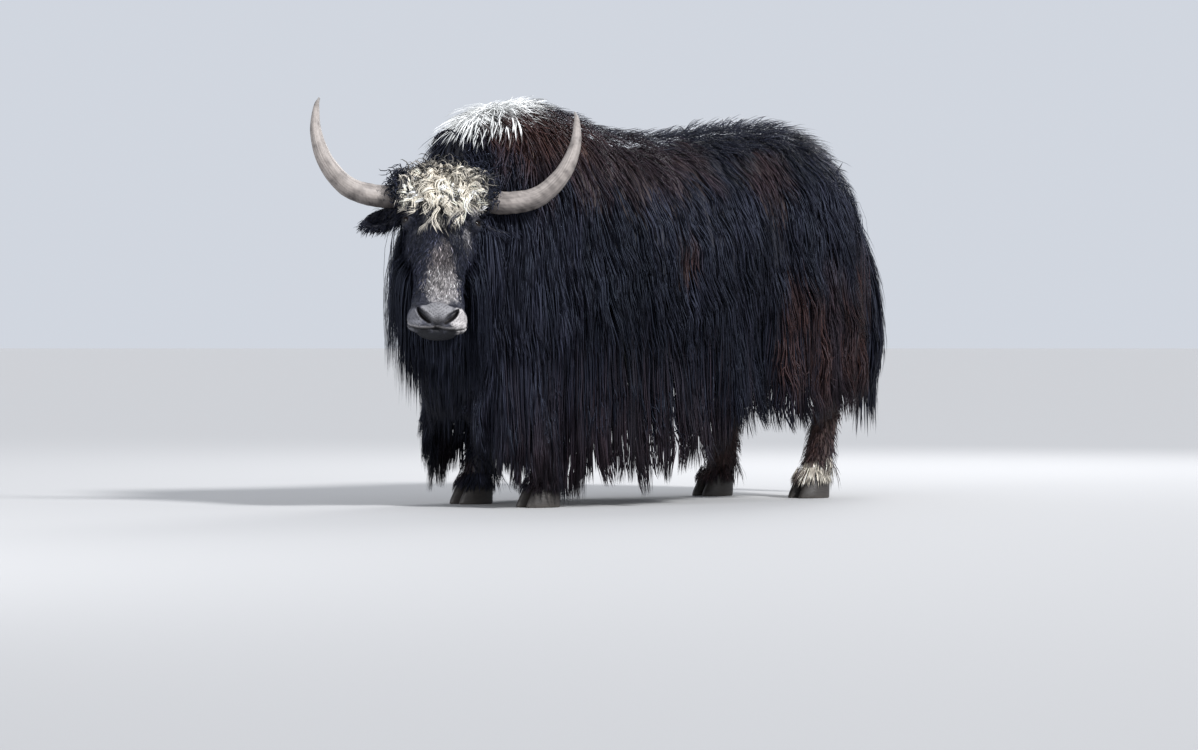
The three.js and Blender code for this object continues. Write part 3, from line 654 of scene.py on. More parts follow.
def headForm():
    bm = bmesh.new()
    sweepForm(bm, skull, 40, 40, ends=0.75)
    for side in (-1, 1):
        for halves, (x, y, z), (a, b, c) in sideForms:
            oval(bm, halves, (side * x, y, z), (a, side * b, side * c))
        makeEar(bm, side)
    for halves, at, turns in middleForms:
        oval(bm, halves, at, turns)
    bm = fused(bm, skinForm["headVoxel"], skinForm["headSmooth"])
    muzzleEdges, eyeEdges = [], []
    for edge in bm.edges:
        x, y, z = (edge.verts[0].co + edge.verts[1].co) / 2
        if math.dist((abs(x), y, z), eyeFront) < 0.030:
            eyeEdges.append(edge)
        elif z < -0.492 and y < 0.02:
            muzzleEdges.append(edge)
    bmesh.ops.subdivide_edges(bm, edges=muzzleEdges, cuts=1, use_grid_fill=True, smooth=0.5)
    bmesh.ops.subdivide_edges(bm, edges=eyeEdges, cuts=3, use_grid_fill=True, smooth=0.5)
    setPoints(bm, sculptHead(points(bm)))
    return bm


def sculptHead(p):
    side = np.sign(p[:, 0])
    folded = foldOver(p)
    d = nostrilShare(folded, *nostrils["cut"])
    pit = np.clip(1 - d**4, 0, 1)
    rim = stripe(d - 1.35, 0.25) * (folded[:, 1] < -0.02)
    folded += pit[:, None] * np.array([-0.003, 0.026, 0.010]) - rim[:, None] * np.array([0, 0.0035, 0.001])
    # crease over the pad, the mouth, and the furrow under the nose
    crest = -0.488 - 2.2 * folded[:, 0] ** 2
    fold = stripe(folded[:, 2] - crest, 0.006) * ease(0.0, -0.04, folded[:, 1]) * (folded[:, 0] < 0.075)
    folded[:, 1] += 0.004 * fold
    cut = stripe(overMouth(folded), 0.0042) * ease(0.045, 0.010, folded[:, 1])
    inward = unit(np.array([0, 0.02, 0]) - folded * np.array([1, 1, 0]))
    folded += inward * (0.010 * cut)[:, None]
    furrow = stripe(folded[:, 0], 0.004) * near(folded, (0, -0.07, -0.552), (0.03, 0.05, 0.03))
    folded[:, 1] += 0.006 * furrow
    # lids: the skin stands off the eyeball, and sinks behind it in the slit
    local, slit, across = eyeOpening(folded)
    reach = np.linalg.norm(local, axis=1, keepdims=True)
    outer = (local @ eyeWay > -0.004) & (reach[:, 0] < 0.036)
    lid = eyes["radius"] + 0.0024 - 0.0010 * ease(1.0, 1.7, slit) + 0.0014 * (across > 0)
    wanted = np.where(slit < 1, eyes["radius"] - 0.006, np.maximum(reach[:, 0], lid))
    folded = np.where(outer[:, None], eyeSpot + local / reach * wanted[:, None], folded)
    fold = stripe(slit - 2.1, 0.22) * (across > -0.004) * outer
    folded -= unit(local) * (0.0022 * fold)[:, None]
    for waves, size in ((520, 0.0016), (680, 0.0012)):  # wrinkles over and under the eye
        ring = np.sin((reach[:, 0] - 0.03) * waves) * near(folded, eyeSpot, (0.05, 0.065, 0.055))
        folded += unit(local) * (size * ring * (reach[:, 0] > 0.030))[:, None]
    folded[:, 0] *= side
    return folded


def makeSkin():
    body, head = bodyForm(), headForm()
    bmesh.ops.transform(head, matrix=Matrix.Translation(poll) @ Matrix(headAxes).to_4x4(), verts=head.verts)
    mesh = meshOf("headWork", head)
    other = linked("headWork", mesh)
    skin = evaluated(body, [("BOOLEAN", {"operation": "UNION", "object": other, "solver": "MANIFOLD"})])
    bpy.data.objects.remove(other)
    bpy.data.meshes.remove(mesh)
    paired = ("ear", "forequarter", "barrel", "hindquarter")
    replaced = ["head", "neck"] + [f"{part}_{side}" for part in paired for side in ("left", "right")]
    replaced += [f"leg_{name}" for name in feet]
    return makePiece("skin", skin, makeMaterial("short_coat"), replaced)


def skinTints(p):
    # the coat's markings, with bare dark skin in the nostrils, the mouth and the rims of the eyes, and painted
    # shade under the middle of the nose pad
    local = foldOver(toHead(p))
    over, front = overMouth(local), ease(0.05, 0.01, local[:, 1]) * (local[:, 2] > -0.62)
    mouth, edge = stripe(over, 0.0050) * front, stripe(over - 0.0095, 0.0050) * front
    colour = mix(markings(p), pelt["ash"], (0.45 * edge)[:, None])
    # painted shade under the middle of the nose pad
    middle = near(local, (0, -0.085, -0.563), (0.044, 0.050, 0.023)) ** 0.5
    lids = near(local, eyeSpot + 0.018 * eyeWay, (0.030, 0.030, 0.023)) ** 0.4
    muzzle = near(local, (0, -0.05, -0.54), (0.14, 0.14, 0.085)) ** 0.3
    colour = colour * (1 - 0.6 * (ease(0.30, 0.75, ripple(local, 0.009, 61)) * muzzle)[:, None])
    hole = ease(1.15, 0.85, nostrilShare(local, *nostrils["dark"]))
    dark = np.clip(hole + mouth + 0.9 * lids + 0.85 * middle, 0, 1)
    return mix(colour, pelt["bare"], dark[:, None])


skin = makeSkin()
paint(skin, skinTints(coords(skin)))
print("skin:", len(skin.data.polygons), "faces")


# eyes
eyeTones = tones({
    "white": (0.030, 0.020, 0.017), "iris": (0.010, 0.005, 0.003), "pupil": (0.001, 0.001, 0.001),
})
eyeForm = {"down": 0.12, "cornea": (0.80, 0.008), "pupil": (0.5, 0.30, 0.17)}


def makeEye(name, side):
    bm = bmesh.new()
    bmesh.ops.create_uvsphere(bm, u_segments=48, v_segments=32, radius=eyes["radius"])
    gaze = unit(eyeWay * np.array([side, 1, 1]) + np.array([0, 0, -eyeForm["down"]]))
    start, bulge = eyeForm["cornea"]
    p = points(bm)
    toward = unit(p) @ gaze
    p += np.outer(np.clip(toward - start, 0, 1) * bulge, gaze)
    angle = np.arccos(np.clip(toward, -1, 1))
    flat = unit(p) - np.outer(toward, gaze)
    wide, deep, tall = eyeForm["pupil"]
    pupil = np.sqrt((flat[:, 1] / deep) ** 2 + (flat[:, 2] / tall) ** 2 + (flat[:, 0] / wide) ** 2)
    colours = mix(eyeTones["iris"], eyeTones["white"], ease(0.86, 0.96, angle)[:, None])
    colours = mix(eyeTones["pupil"], colours, ease(0.85, 1.1, pupil)[:, None])
    setPoints(bm, fromHead(p + eyeSpot * np.array([side, 1, 1])))
    bmesh.ops.recalc_face_normals(bm, faces=bm.faces)
    paint(makePiece(name, bm, eyeGloss, [name]), colours)


eyeGloss = makeMaterial("eye_wet", wetness)
makeEye("eye_left", 1)
makeEye("eye_right", -1)
print("eyes")


# horns
hornRows = [  # out, fore, up, half thickness
    (0.092, -0.025, -0.052, 0.0405),
    (0.150, -0.018, -0.066, 0.0405),
    (0.235, 0.008, -0.068, 0.0380),
    (0.325, 0.044, -0.042, 0.0345),
    (0.398, 0.066, 0.034, 0.0285),
    (0.436, 0.062, 0.130, 0.0200),
    (0.440, 0.030, 0.215, 0.0105),
    (0.432, 0.012, 0.250, 0.0030),
]
hornForm = {"rings": 110, "around": 32, "stainAndShade": {1: 0.16, -1: 0.34}}  # the right root is stained further out
hornTones = tones({"pale": (0.285, 0.255, 0.238), "dark": (0.034, 0.028, 0.028), "tip": (0.21, 0.20, 0.195)})


def makeHorn(name, side):
    rows = []
    for out, fore, up, thick in hornRows:
        at = poll + np.array(leftward) * (side * out + up * math.sin(roll)) + np.array(facing) * fore
        rows.append((*(at + np.array([0, 0, up - side * out * math.sin(roll)])), thick, thick, thick))
    line = Sweep(rows, facing, square=2)
    angles = np.linspace(0, 2 * math.pi, hornForm["around"], endpoint=False)
    stops = np.linspace(0, 1, hornForm["rings"])
    bm = bmesh.new()
    rings = []
    for t in stops:
        steps = 0.0011 * math.sin(t * 150) * (1 - t) ** 3 + 0.0006 * math.sin(t * 61 + 1) * (1 - t)
        rings.append(line.on(np.full(len(angles), t), angles, steps))
    loft(bm, rings)
    bmesh.ops.recalc_face_normals(bm, faces=bm.faces)
    piece = makePiece(name, bm, keratin, [name])
    p, t, share = coords(piece), np.repeat(stops, len(angles)), np.tile(angles / (2 * math.pi), len(stops))
    middle = line.section(t)[0]
    under = unit(p - middle) @ np.array([0, 0, -1.0])
    inner = unit(p - middle) @ (-side * np.array(leftward))
    shade = mix(hornTones["pale"], hornTones["tip"], ease(0.86, 1.0, t)[:, None])
    # painted shade on the underside near the root; then darker on the outer side, stains at the root, and
    # mottling
    stainAndShade = 0.55 * ease(-0.1, 0.9, under) * ease(0.75, 0.2, t)
    stainAndShade += 0.25 * ease(0.1, 1, -inner) * ease(0.3, 0.8, t)
    stainAndShade += 0.75 * ease(hornForm["stainAndShade"][side], 0.02, t) + 0.35 * np.clip(ripple(p, 0.05, 21), 0, 1)
    stainAndShade += 0.25 * np.clip(ripple(p, 0.013, 22), 0, 1)
    paint(piece, mix(shade, hornTones["dark"], np.clip(stainAndShade, 0, 0.95)[:, None]))
    corner = np.empty(len(piece.data.loops), np.int32)
    piece.data.loops.foreach_get("vertex_index", corner)
    # the map is mirrored round the horn, so that it has no seam
    addMap(piece.data, "grain", columns(np.abs(share - 0.5), t)[corner])


keratin = makeMaterial("horn_keratin")
makeHorn("horn_left", 1)
makeHorn("horn_right", -1)
print("horns")


# hooves: two claws each
clawRows = [  # height, fore, half width, reach to the toe, reach to the heel
    (0.0777, -0.018, 0.0240, 0.050, 0.050),
    (0.066, -0.019, 0.0262, 0.055, 0.052),
    (0.044, -0.021, 0.0280, 0.063, 0.053),
    (0.020, -0.022, 0.0293, 0.076, 0.053),
    (0.006, -0.022, 0.0300, 0.082, 0.052),
    (0.0, -0.022, 0.0290, 0.080, 0.050),
]
claw = {"apart": 0.0315, "around": 28, "edge": 0.002, "narrow": 0.72, "inturn": 0.004}
clawTones = tones({"wall": (0.030, 0.026, 0.024), "sole": (0.055, 0.048, 0.042)})


def makeHoof(name, x, y):
    bm = bmesh.new()
    angles = np.linspace(0, 2 * math.pi, claw["around"], endpoint=False)
    c, d = np.cos(angles), np.sin(angles)
    front = np.clip(-d, 0, 1)
    for side in (-1, 1):
        rings = []
        for z, fore, half, toe, heel in clawRows:
            along = np.sign(d) * np.abs(d) ** 0.8 * np.where(d > 0, heel, toe)
            across = np.sign(c) * np.abs(c) ** 0.8 * half * mix(1, claw["narrow"], ease(0.3, 1, front))
            across = across - claw["inturn"] * front**2
            rings.append(columns(x + side * (claw["apart"] + across), y + fore + along, z))
        loft(bm, rings)
    bmesh.ops.recalc_face_normals(bm, faces=bm.faces)
    piece = makePiece(f"hoof_{name}", bm, hoofHorn, [f"hoof_{name}"])
    worn = ease(0.012, 0.0, coords(piece)[:, 2])
    paint(piece, mix(clawTones["wall"], clawTones["sole"], worn[:, None]))
    bevel = piece.modifiers.new("edge", "BEVEL")
    bevel.affect, bevel.limit_method, bevel.width = "EDGES", "ANGLE", claw["edge"]
    bevel.segments, bevel.profile, bevel.material = 2, 0.5, -1


hoofHorn = makeMaterial("hoof_horn")
for name, (x, y, rows) in feet.items():
    makeHoof(name, x, y)
print("hooves")


# coat: tufts are flat, ridged and tapered, and each is one closed form
budget = {}
fullness = 1.0
tuft = {"lowest": 0.004, "patch": 0.003, "mapStart": 0.004, "mapSpan": 0.992, "apart": 1.37, "grain": 12}
dye = {"bleach": 0.25, "change": 0.42, "size": 0.07, "darkest": 0.10, "brightest": 0.92}


def tuftFaces(steps):
    # one tuft: rings of three points from the root, and one point at the tip
    quads = []
    for r in range(steps - 2):
        for e in range(3):
            f = (e + 1) % 3
            quads.append((3 * r + e, 3 * r + f, 3 * r + 3 + f, 3 * r + 3 + e))
    last = 3 * (steps - 2)
    return quads, [(last + e, last + (e + 1) % 3, last + 3) for e in range(3)] + [(2, 1, 0)]


def growTufts(
    name, path, out, width, rootMap, colour, material=longHair, thick=0.22, blunt=0.5, replaced=(),
):
    count, steps = path.shape[:2]
    path = np.concatenate([path[..., :2], np.maximum(path[..., 2:], tuft["lowest"])], axis=2)
    s = np.linspace(0, 1, steps)
    tangent = unit(np.gradient(path, axis=1))
    across = unit(np.cross(tangent, out))
    lifted = np.cross(across, tangent)
    taper = (1 - s) ** blunt * (0.62 + 0.75 * s)
    half = 0.5 * width[:, None, None] * taper[None, :, None]
    rings = np.stack([path - across * half, path + lifted * half * thick * 2, path + across * half], axis=2)
    verts = np.concatenate([rings[:, :-1].reshape(count, -1, 3), path[:, -1:]], axis=1)
    each = verts.shape[1]
    quads, tris = tuftFaces(steps)
    corners = np.array([v for face in quads + tris for v in face])
    firsts = np.concatenate([np.arange(len(quads)) * 4, len(quads) * 4 + np.arange(len(tris)) * 3])
    own = np.arange(count)[:, None]
    loops, starts = (corners + each * own).ravel(), (firsts + len(corners) * own).ravel()
    mesh = bpy.data.meshes.new(name)
    mesh.vertices.add(count * each)
    mesh.vertices.foreach_set("co", (verts + place).astype(np.float32).ravel())
    mesh.loops.add(len(loops))
    mesh.loops.foreach_set("vertex_index", loops.astype(np.int32))
    mesh.polygons.add(len(starts))
    mesh.polygons.foreach_set("loop_start", starts.astype(np.int32))
    mesh.polygons.foreach_set("use_smooth", np.ones(len(starts), bool))
    mesh.update(calc_edges=True)
    # a small patch of the bake map for each tuft, and a map of its hairs
    turns = np.append(np.arange(each - 1) % 3 / 2, 0.5)[corners]
    alongs = np.append(np.repeat(s[:-1], 3), 1.0)[corners]
    patch = (columns(turns, alongs) - 0.5) * tuft["patch"]
    spots = tuft["mapStart"] + tuft["mapSpan"] * np.clip(rootMap, 0, 1)
    addMap(mesh, "OFBake", spots[:, None] + patch[None])
    lengths = np.linalg.norm(np.diff(path, axis=1), axis=2).sum(1)
    addMap(mesh, "strand", columns(own * tuft["apart"] + turns, lengths[:, None] * tuft["grain"] * alongs))
    piece = ridden(name, mesh, material, replaced)
    colours = np.concatenate([np.repeat(colour[:, :-1], 3, axis=1), colour[:, -1:]], axis=1)
    paint(piece, colours.reshape(-1, 3))
    budget[name] = count * (len(quads) * 2 + len(tris))
    print("coat:", name, count, "tufts,", budget[name], "triangles")


def dyed(path, seed, spread=0.20, root=None):
    # the root's marking runs down the tuft, and its end bleaches to brown where the coat does
    pick = np.random.default_rng(seed)
    s = np.linspace(0, 1, path.shape[1])[None, :, None]
    base = markings(path[:, 0] if root is None else root)
    end = markings(path[:, -1])
    tone = np.exp(spread * pick.normal(size=(len(path), 1, 1)))
    drift = ripple(path[:, 1] * np.array([1, 1, 0.3]), dye["size"], 77)
    tone = tone * np.exp(dye["change"] * drift)[:, None, None]
    dark = base.mean(1)[:, None, None] < dye["darkest"]
    far = np.where(dark & (end.mean(1)[:, None, None] < dye["darkest"]), end[:, None], base[:, None])
    colour = mix(base[:, None], far, s**1.3)
    bleached = mix(colour, pelt["umber"], dye["bleach"] * s**2 * pick.uniform(0, 1, (len(path), 1, 1)))
    return np.clip(np.where(dark, bleached, colour) * tone, 0, dye["brightest"])


skirtRows = [  # x, y, height of the tips, on the left side
    (0.040, -0.835, 0.310),
    (0.132, -0.775, 0.165),
    (0.212, -0.678, 0.050),
    (0.272, -0.565, 0.036),
    (0.305, -0.400, 0.045),
    (0.325, -0.170, 0.065),
    (0.335, 0.090, 0.170),
    (0.328, 0.330, 0.240),
    (0.308, 0.560, 0.245),
    (0.272, 0.760, 0.310),
    (0.200, 0.885, 0.390),
    (0.060, 0.960, 0.470),
]
drape = {"across": 110, "along": 96, "depth": 0.018, "skirt": 0.024}


folds = [  # middle and width across, start and end of its growth down, depth
    (0.15, 0.085, (0.25, 0.60), 0.042),  # the mass of hair before the foreleg
    (0.295, 0.034, (0.28, 0.50), -0.014),  # the dark valley behind it
    (0.295, 0.038, (0.60, 0.78), -0.050),
    (0.37, 0.040, (0.30, 0.60), 0.016),
    (0.655, 0.030, (0.40, 0.60), -0.012),  # in front of the thigh
    (0.655, 0.030, (0.62, 0.80), -0.022),
    (0.80, 0.090, (0.10, 0.35), 0.024),  # over the thigh
    (0.90, 0.018, (0.35, 0.60), -0.012),
]
spineHair = {"deep": 0.026, "loin": (0.47, 0.13)}


def drapeSurface():
    # from the spine over the left flank and straight down to the tips of the skirt
    spread = np.linspace(0, 1, 400)
    alongY = torso.section(spread)[0][:, 1]
    angles = np.radians(90 - 11.25 * np.arange(9))
    lines = []
    for share in np.linspace(0, 1, drape["across"]):
        end = splineAt(skirtRows, share)
        way = unit(splineAt(skirtRows, share + 0.003)[:2] - splineAt(skirtRows, share - 0.003)[:2])
        t = np.interp(np.clip(end[1], -0.815, 0.912), alongY, spread)
        top = torso.on(np.full(9, t), angles, drape["depth"])
        foot = end + np.array([way[1], -way[0], 0]) * drape["skirt"]
        below = [np.array([foot[0], foot[1], mix(top[-1, 2], end[2], i / 4)]) for i in range(1, 5)]
        line = splineAt(np.vstack([top, below]), np.linspace(0, 1, 300))
        run = np.concatenate([[0], np.cumsum(np.linalg.norm(np.diff(line, axis=0), axis=1))])
        even = np.linspace(0, run[-1], drape["along"])
        lines.append(columns(*(np.interp(even, run, line[:, k]) for k in range(3))))
    smooth = Surface(np.array(lines))
    u, v = np.meshgrid(np.linspace(0, 1, drape["across"]), np.linspace(0, 1, drape["along"]), indexing="ij")
    spots = columns(u * 11, v * 2.2)
    swell = 0.011 * ripple(spots, 1.0, 31) * ease(0.1, 0.5, v)
    swell += 0.012 * ripple(spots * 2.1, 1.0, 32) * ease(0.3, 0.8, v)
    for middle, width, start, depth in folds:
        swell = swell + depth * stripe(u - middle - 0.02 * np.sin(v * 7), width) * ease(*start, v)
    swell = swell * ease(0.0, 0.05, u) * ease(1.0, 0.94, u)
    # the hair is deepest along the spine
    middle, width = spineHair["loin"]
    loin = spineHair["deep"] * stripe(u - middle, width) * ease(0.22, 0.0, v)
    back = loin + spineHair["deep"] * ease(0.16, 0.0, v) * ease(0.22, 0.36, u) * ease(0.96, 0.86, u)
    return Surface(smooth.grid + smooth.out * (swell + back)[..., None])


flankSurface = drapeSurface()


def clumps(u, cells, seed):
    # the middle of the lock that each tuft belongs to, and the lock's own number
    wobbled = u * cells + 0.25 * np.sin(u * cells * 2.1 + seed)
    cell = np.floor(wobbled)
    return (cell + 0.5 + 0.5 * (hashed(cell, seed) - 0.5)) / cells, cell


def layTufts(surface, u, v, length, look, pick, seed, wave):
    # tufts that lie along a surface: deep at the root, gathered into locks at the tip
    s = np.linspace(0, 1, look["steps"])
    centre, cell = clumps(u, look["locks"], seed)
    fine, fineCell = clumps(u, look["locks"] * 3.3, seed + 7)
    own = pick.uniform(-1, 1, len(u))
    pull, sink = look["pull"], look["sink"]
    slant = look.get("drift", 0.0) + 0.004 * (hashed(cell, seed + 2) - 0.5) + 0.003 * own
    uu = u[:, None] + (centre - u)[:, None] * pull * s**1.7 * 0.62 + (fine - u)[:, None] * pull * s * 0.38
    uu = uu + slant[:, None] * s + 0.0024 * np.sin(s * 4 + hashed(fineCell, seed)[:, None] * 6.28) * s
    vv = v[:, None] + (length / surface.length(u))[:, None] * s
    flow = columns(uu * 14, vv * 7)
    uu = uu + wave * (ripple(flow, 1.6, seed + 11) * 0.7 + ripple(flow * 2.3, 1.5, seed + 12) * 0.4)
    at, out = surface.read(uu, vv)
    bulge = ripple(columns(u * 26, v * 4), 1.6, seed + 3)
    rise = -sink + (sink + look["lift"]) * s**0.75 * pick.uniform(0.6, 1.1, len(u))[:, None]
    rise = rise + 0.012 * bulge[:, None] * s + 0.003 * np.sin(s * 7 + own[:, None] * 9) * s
    rise = rise + 0.014 * (hashed(cell, seed + 5) - 0.5)[:, None] * s
    return at + out * rise[..., None], out


# from and to are shares of the way down; shown is the step that lies in the open and gives the colour
flank = {
    "coat": {
        "count": 8000, "steps": 5, "from": 0.0, "to": 0.56, "long": (0.13, 0.24), "width": (0.0048, 0.0074),
        "sink": 0.030, "lift": 0.014, "locks": 60, "pull": 0.60, "drift": 0.008,
        "wave": (0.0045, 0.004), "shown": 3,
    },
    "skirt_hair": {
        "count": 3850, "steps": 6, "from": 0.34, "to": 0.76, "width": (0.0045, 0.0080),
        "sink": 0.045, "lift": 0.006, "locks": 46, "pull": 0.40, "drift": 0.003,
        "wave": (0.003, 0.006), "shown": 2,
    },
    "hem_hair": {
        "count": 1300, "steps": 5, "from": 0.72, "to": 0.93, "width": (0.0050, 0.0085),
        "sink": 0.02, "lift": 0.006, "locks": 46, "pull": 0.40, "drift": 0.003,
        "wave": (0.003, 0.006), "shown": 2,
    },
}
stretches = {"fore": (0.0, 0.34), "mid": (0.34, 0.68), "hind": (0.68, 1.0)}
flankSeeds = {"fore": 100, "mid": 200, "hind": 300, "left": 0, "right": 50}


def flankLength(look, u, v, pick, seed):
    # the upper hair has lengths of its own, and the rest reaches down to an uneven hem
    if "long" in look:
        return pick.uniform(*look["long"], len(u)) * mix(0.55, 1.25, ease(0.0, 0.4, v))
    cell = clumps(u, look["locks"], seed)[1]
    hem = 1.03 - 0.050 * hashed(cell, seed + 9) - 0.04 * hashed(np.floor(u * 17), seed)
    return (hem - 0.20 * pick.uniform(0, 1, len(u)) ** 2.6 - v) * flankSurface.length(u)


def coatFlank(side, part):
    low, high = stretches[part]
    seed = flankSeeds[part] + flankSeeds[side]
    pick = np.random.default_rng(seed)
    mirror = np.array([1.0 if side == "left" else -1.0, 1.0, 1.0])
    for k, (kind, look) in enumerate(flank.items()):
        count = int(look["count"] * (high - low) * fullness)
        u, v = pick.uniform(low, high, count), pick.uniform(look["from"], look["to"], count)
        long = flankLength(look, u, v, pick, seed)
        calmest, more = look["wave"]
        wave = calmest + more * ease(0.62, 0.8, u)[:, None]
        path, out = layTufts(flankSurface, u, v, long, look, pick, seed, wave)
        path, out, width = path * mirror, out * mirror, pick.uniform(*look["width"], count)
        replaced = [f"skirt_{part}_{side}"] if kind == "skirt_hair" else []
        colour = dyed(path, seed + k, root=path[:, look["shown"]])
        spot = columns((u - low) / (high - low), v)
        growTufts(f"{kind}_{part}_{side}", path, out, width, spot, colour, replaced=replaced)


for side in ("left", "right"):
    for part in stretches:
        coatFlank(side, part)


# mane: round the neck and down in front of the chest
maneRows = [
    (0.062, -0.850, 1.080, 0.130, 0.070, 0.100),
    (0.070, -0.862, 0.950, 0.180, 0.092, 0.115),
    (0.070, -0.866, 0.760, 0.190, 0.106, 0.115),
    (0.056, -0.856, 0.600, 0.165, 0.104, 0.110),
    (0.044, -0.848, 0.450, 0.120, 0.084, 0.090),
    (0.034, -0.842, 0.300, 0.060, 0.044, 0.044),
]
maneFront = math.radians(38)
maneSweep = Sweep(maneRows, (math.sin(maneFront), -math.cos(maneFront), 0), along=(0, 0, -1))
mane = {
    "count": 5000, "steps": 6, "to": 0.70, "long": (0.24, 0.44), "width": (0.0045, 0.0078),
    "sink": 0.055, "lift": 0.008, "locks": 30, "pull": 0.50, "wave": 0.008,
}


def ringSurface(sweep, around, rings):
    angles, stops = np.linspace(0, 2 * math.pi, around), np.linspace(0, 1, rings)
    return Surface(np.array([sweep.on(stops, np.full(rings, angle)) for angle in angles]), ring=True)


def clearOfFace(path):
    # the tufts that don't cross the face
    x, y, z = np.moveaxis(foldOver(toHead(path)), -1, 0)
    inside = (x < 0.165 - 0.06 * ease(-0.3, -0.5, z)) & (y < 0.050) & between(z, -0.66, 0.09)
    return ~inside.any(axis=1)


def coatMane():
    surface = ringSurface(maneSweep, 73, 60)
    pick = np.random.default_rng(500)
    count = int(mane["count"] * fullness)
    u, v = pick.uniform(0, 1, count), mane["to"] * pick.uniform(0, 1, count)
    long = pick.uniform(*mane["long"], count)
    left = (1.02 - v) * surface.length(u) * pick.uniform(0.86, 1, count)
    path, out = layTufts(surface, u, v, np.minimum(long, left), mane, pick, 501, mane["wave"])
    clear = clearOfFace(path)
    path, out, u, v = path[clear], out[clear], u[clear], v[clear]
    width = pick.uniform(*mane["width"], len(u))
    for name, half in (("mane_left", u < 0.5), ("mane_right", u >= 0.5)):
        spot = columns(u[half] * 2 % 1, v[half])
        growTufts(name, path[half], out[half], width[half], spot, dyed(path[half], 502))


coatMane()


# tail
tailRows = [
    (0.000, 0.880, 1.120, 0.040, 0.040, 0.040),
    (0.006, 0.975, 1.050, 0.048, 0.040, 0.060),
    (0.026, 1.035, 0.900, 0.070, 0.054, 0.100),
    (0.044, 1.070, 0.720, 0.078, 0.062, 0.115),
    (0.054, 1.082, 0.540, 0.064, 0.052, 0.085),
    (0.058, 1.068, 0.400, 0.040, 0.034, 0.045),
]
tail = {
    "count": 2200, "steps": 6, "to": 0.72, "long": (0.22, 0.42), "width": (0.006, 0.0105),
    "sink": 0.030, "lift": 0.008, "locks": 13, "pull": 0.6, "wave": 0.02,
}


def coatTail():
    surface = ringSurface(Sweep(tailRows, (0, 1, 0.3)), 49, 60)
    pick = np.random.default_rng(600)
    count = int(tail["count"] * fullness)
    u, v = pick.uniform(0, 1, count), tail["to"] * pick.uniform(0, 1, count)
    path, out = layTufts(surface, u, v, pick.uniform(*tail["long"], count), tail, pick, 601, tail["wave"])
    width = pick.uniform(*tail["width"], count)
    growTufts("tail_hair", path, out, width, columns(u, v), dyed(path, 602), replaced=["tail"])


coatTail()


# hair that is rooted on the skin itself: head, ears, legs and chest
class Roots:
    # the skin's faces as places for roots
    def __init__(self, piece):
        mesh = piece.data
        mesh.calc_loop_triangles()
        corners = np.empty(len(mesh.loop_triangles) * 3, np.int32)
        mesh.loop_triangles.foreach_get("vertices", corners)
        self.tri = coords(piece)[corners.reshape(-1, 3)]
        cross = np.cross(self.tri[:, 1] - self.tri[:, 0], self.tri[:, 2] - self.tri[:, 0])
        self.area = np.linalg.norm(cross, axis=1) / 2
        self.out = unit(cross)
        self.middle = self.tri.mean(1)

    def scatter(self, look, weight, pick):
        # roots spread by area where the weight is above 0
        count = int(look["count"] * fullness)
        chance = self.area * weight
        chosen = pick.choice(len(chance), count, p=chance / chance.sum())
        a, b = pick.uniform(0, 1, (2, count, 1))
        a, b = np.where(a + b > 1, 1 - a, a), np.where(a + b > 1, 1 - b, b)
        tri = self.tri[chosen]
        return count, tri[:, 0] + a * (tri[:, 1] - tri[:, 0]) + b * (tri[:, 2] - tri[:, 0]), self.out[chosen]


roots = Roots(skin)
inHead = foldOver(toHead(roots.middle))
headX, headY, headZ = inHead.T
onSkull = (headX < 0.135) & (headY < 0.17) & between(headZ, -0.61, 0.07)
onSkull &= np.linalg.norm(inHead / np.array([0.15, 0.20, 1]), axis=1) < 1.6
headUv = {"axis": 0.03, "top": 0.06, "length": 0.66}


def headMap(p):
    # round the head's own axis, and down its length
    local = toHead(p)
    u = np.arctan2(local[:, 0], -local[:, 1] + headUv["axis"]) / (2 * math.pi) + 0.5
    return columns(u, (headUv["top"] - local[:, 2]) / headUv["length"])


def shortTufts(root, out, way, length, look, rise, pick, phase=None, turns=None):
    # tufts that leave the skin and bend over to lie along "way"
    count, curl = len(root), look.get("curl")
    s = np.linspace(0, 1, look["steps"])[None, :, None]
    way = unit(way - out * (way * out).sum(1, keepdims=True))
    side = np.cross(out, way)
    jitter = pick.normal(size=(count, 1)) * look.get("stray", 0.22)
    way = unit(way + side * jitter)
    long, rise = length[:, None, None], np.broadcast_to(rise, count)[:, None, None]
    path = root[:, None] - out[:, None] * 0.002 + way[:, None] * long * s
    path = path + out[:, None] * long * rise * (s - 0.45 * s**2) * 1.6
    if curl:
        if phase is None:
            phase = pick.uniform(0, 6.28, count)
            turns = np.sign(pick.uniform(-1, 1, count)) * pick.uniform(0.9, 1.7, count)
        angle = phase[:, None, None] + turns[:, None, None] * 2 * math.pi * s
        size = curl * pick.uniform(0.7, 1.3, (count, 1, 1)) * ease(0, 0.30, s)
        path = path + side[:, None] * np.cos(angle) * size + out[:, None] * np.sin(angle) * size * 0.8
    path[..., 2] -= (look.get("sag", 0.0) * long * s**2)[..., 0]
    return path, np.broadcast_to(out[:, None], path.shape)


forehead = {
    "count": 370, "each": 8, "steps": 9, "long": (0.046, 0.074), "width": (0.0024, 0.0042),
    "curl": 0.0115, "sag": 0.22, "stray": 0.06, "apart": 0.0030,
}


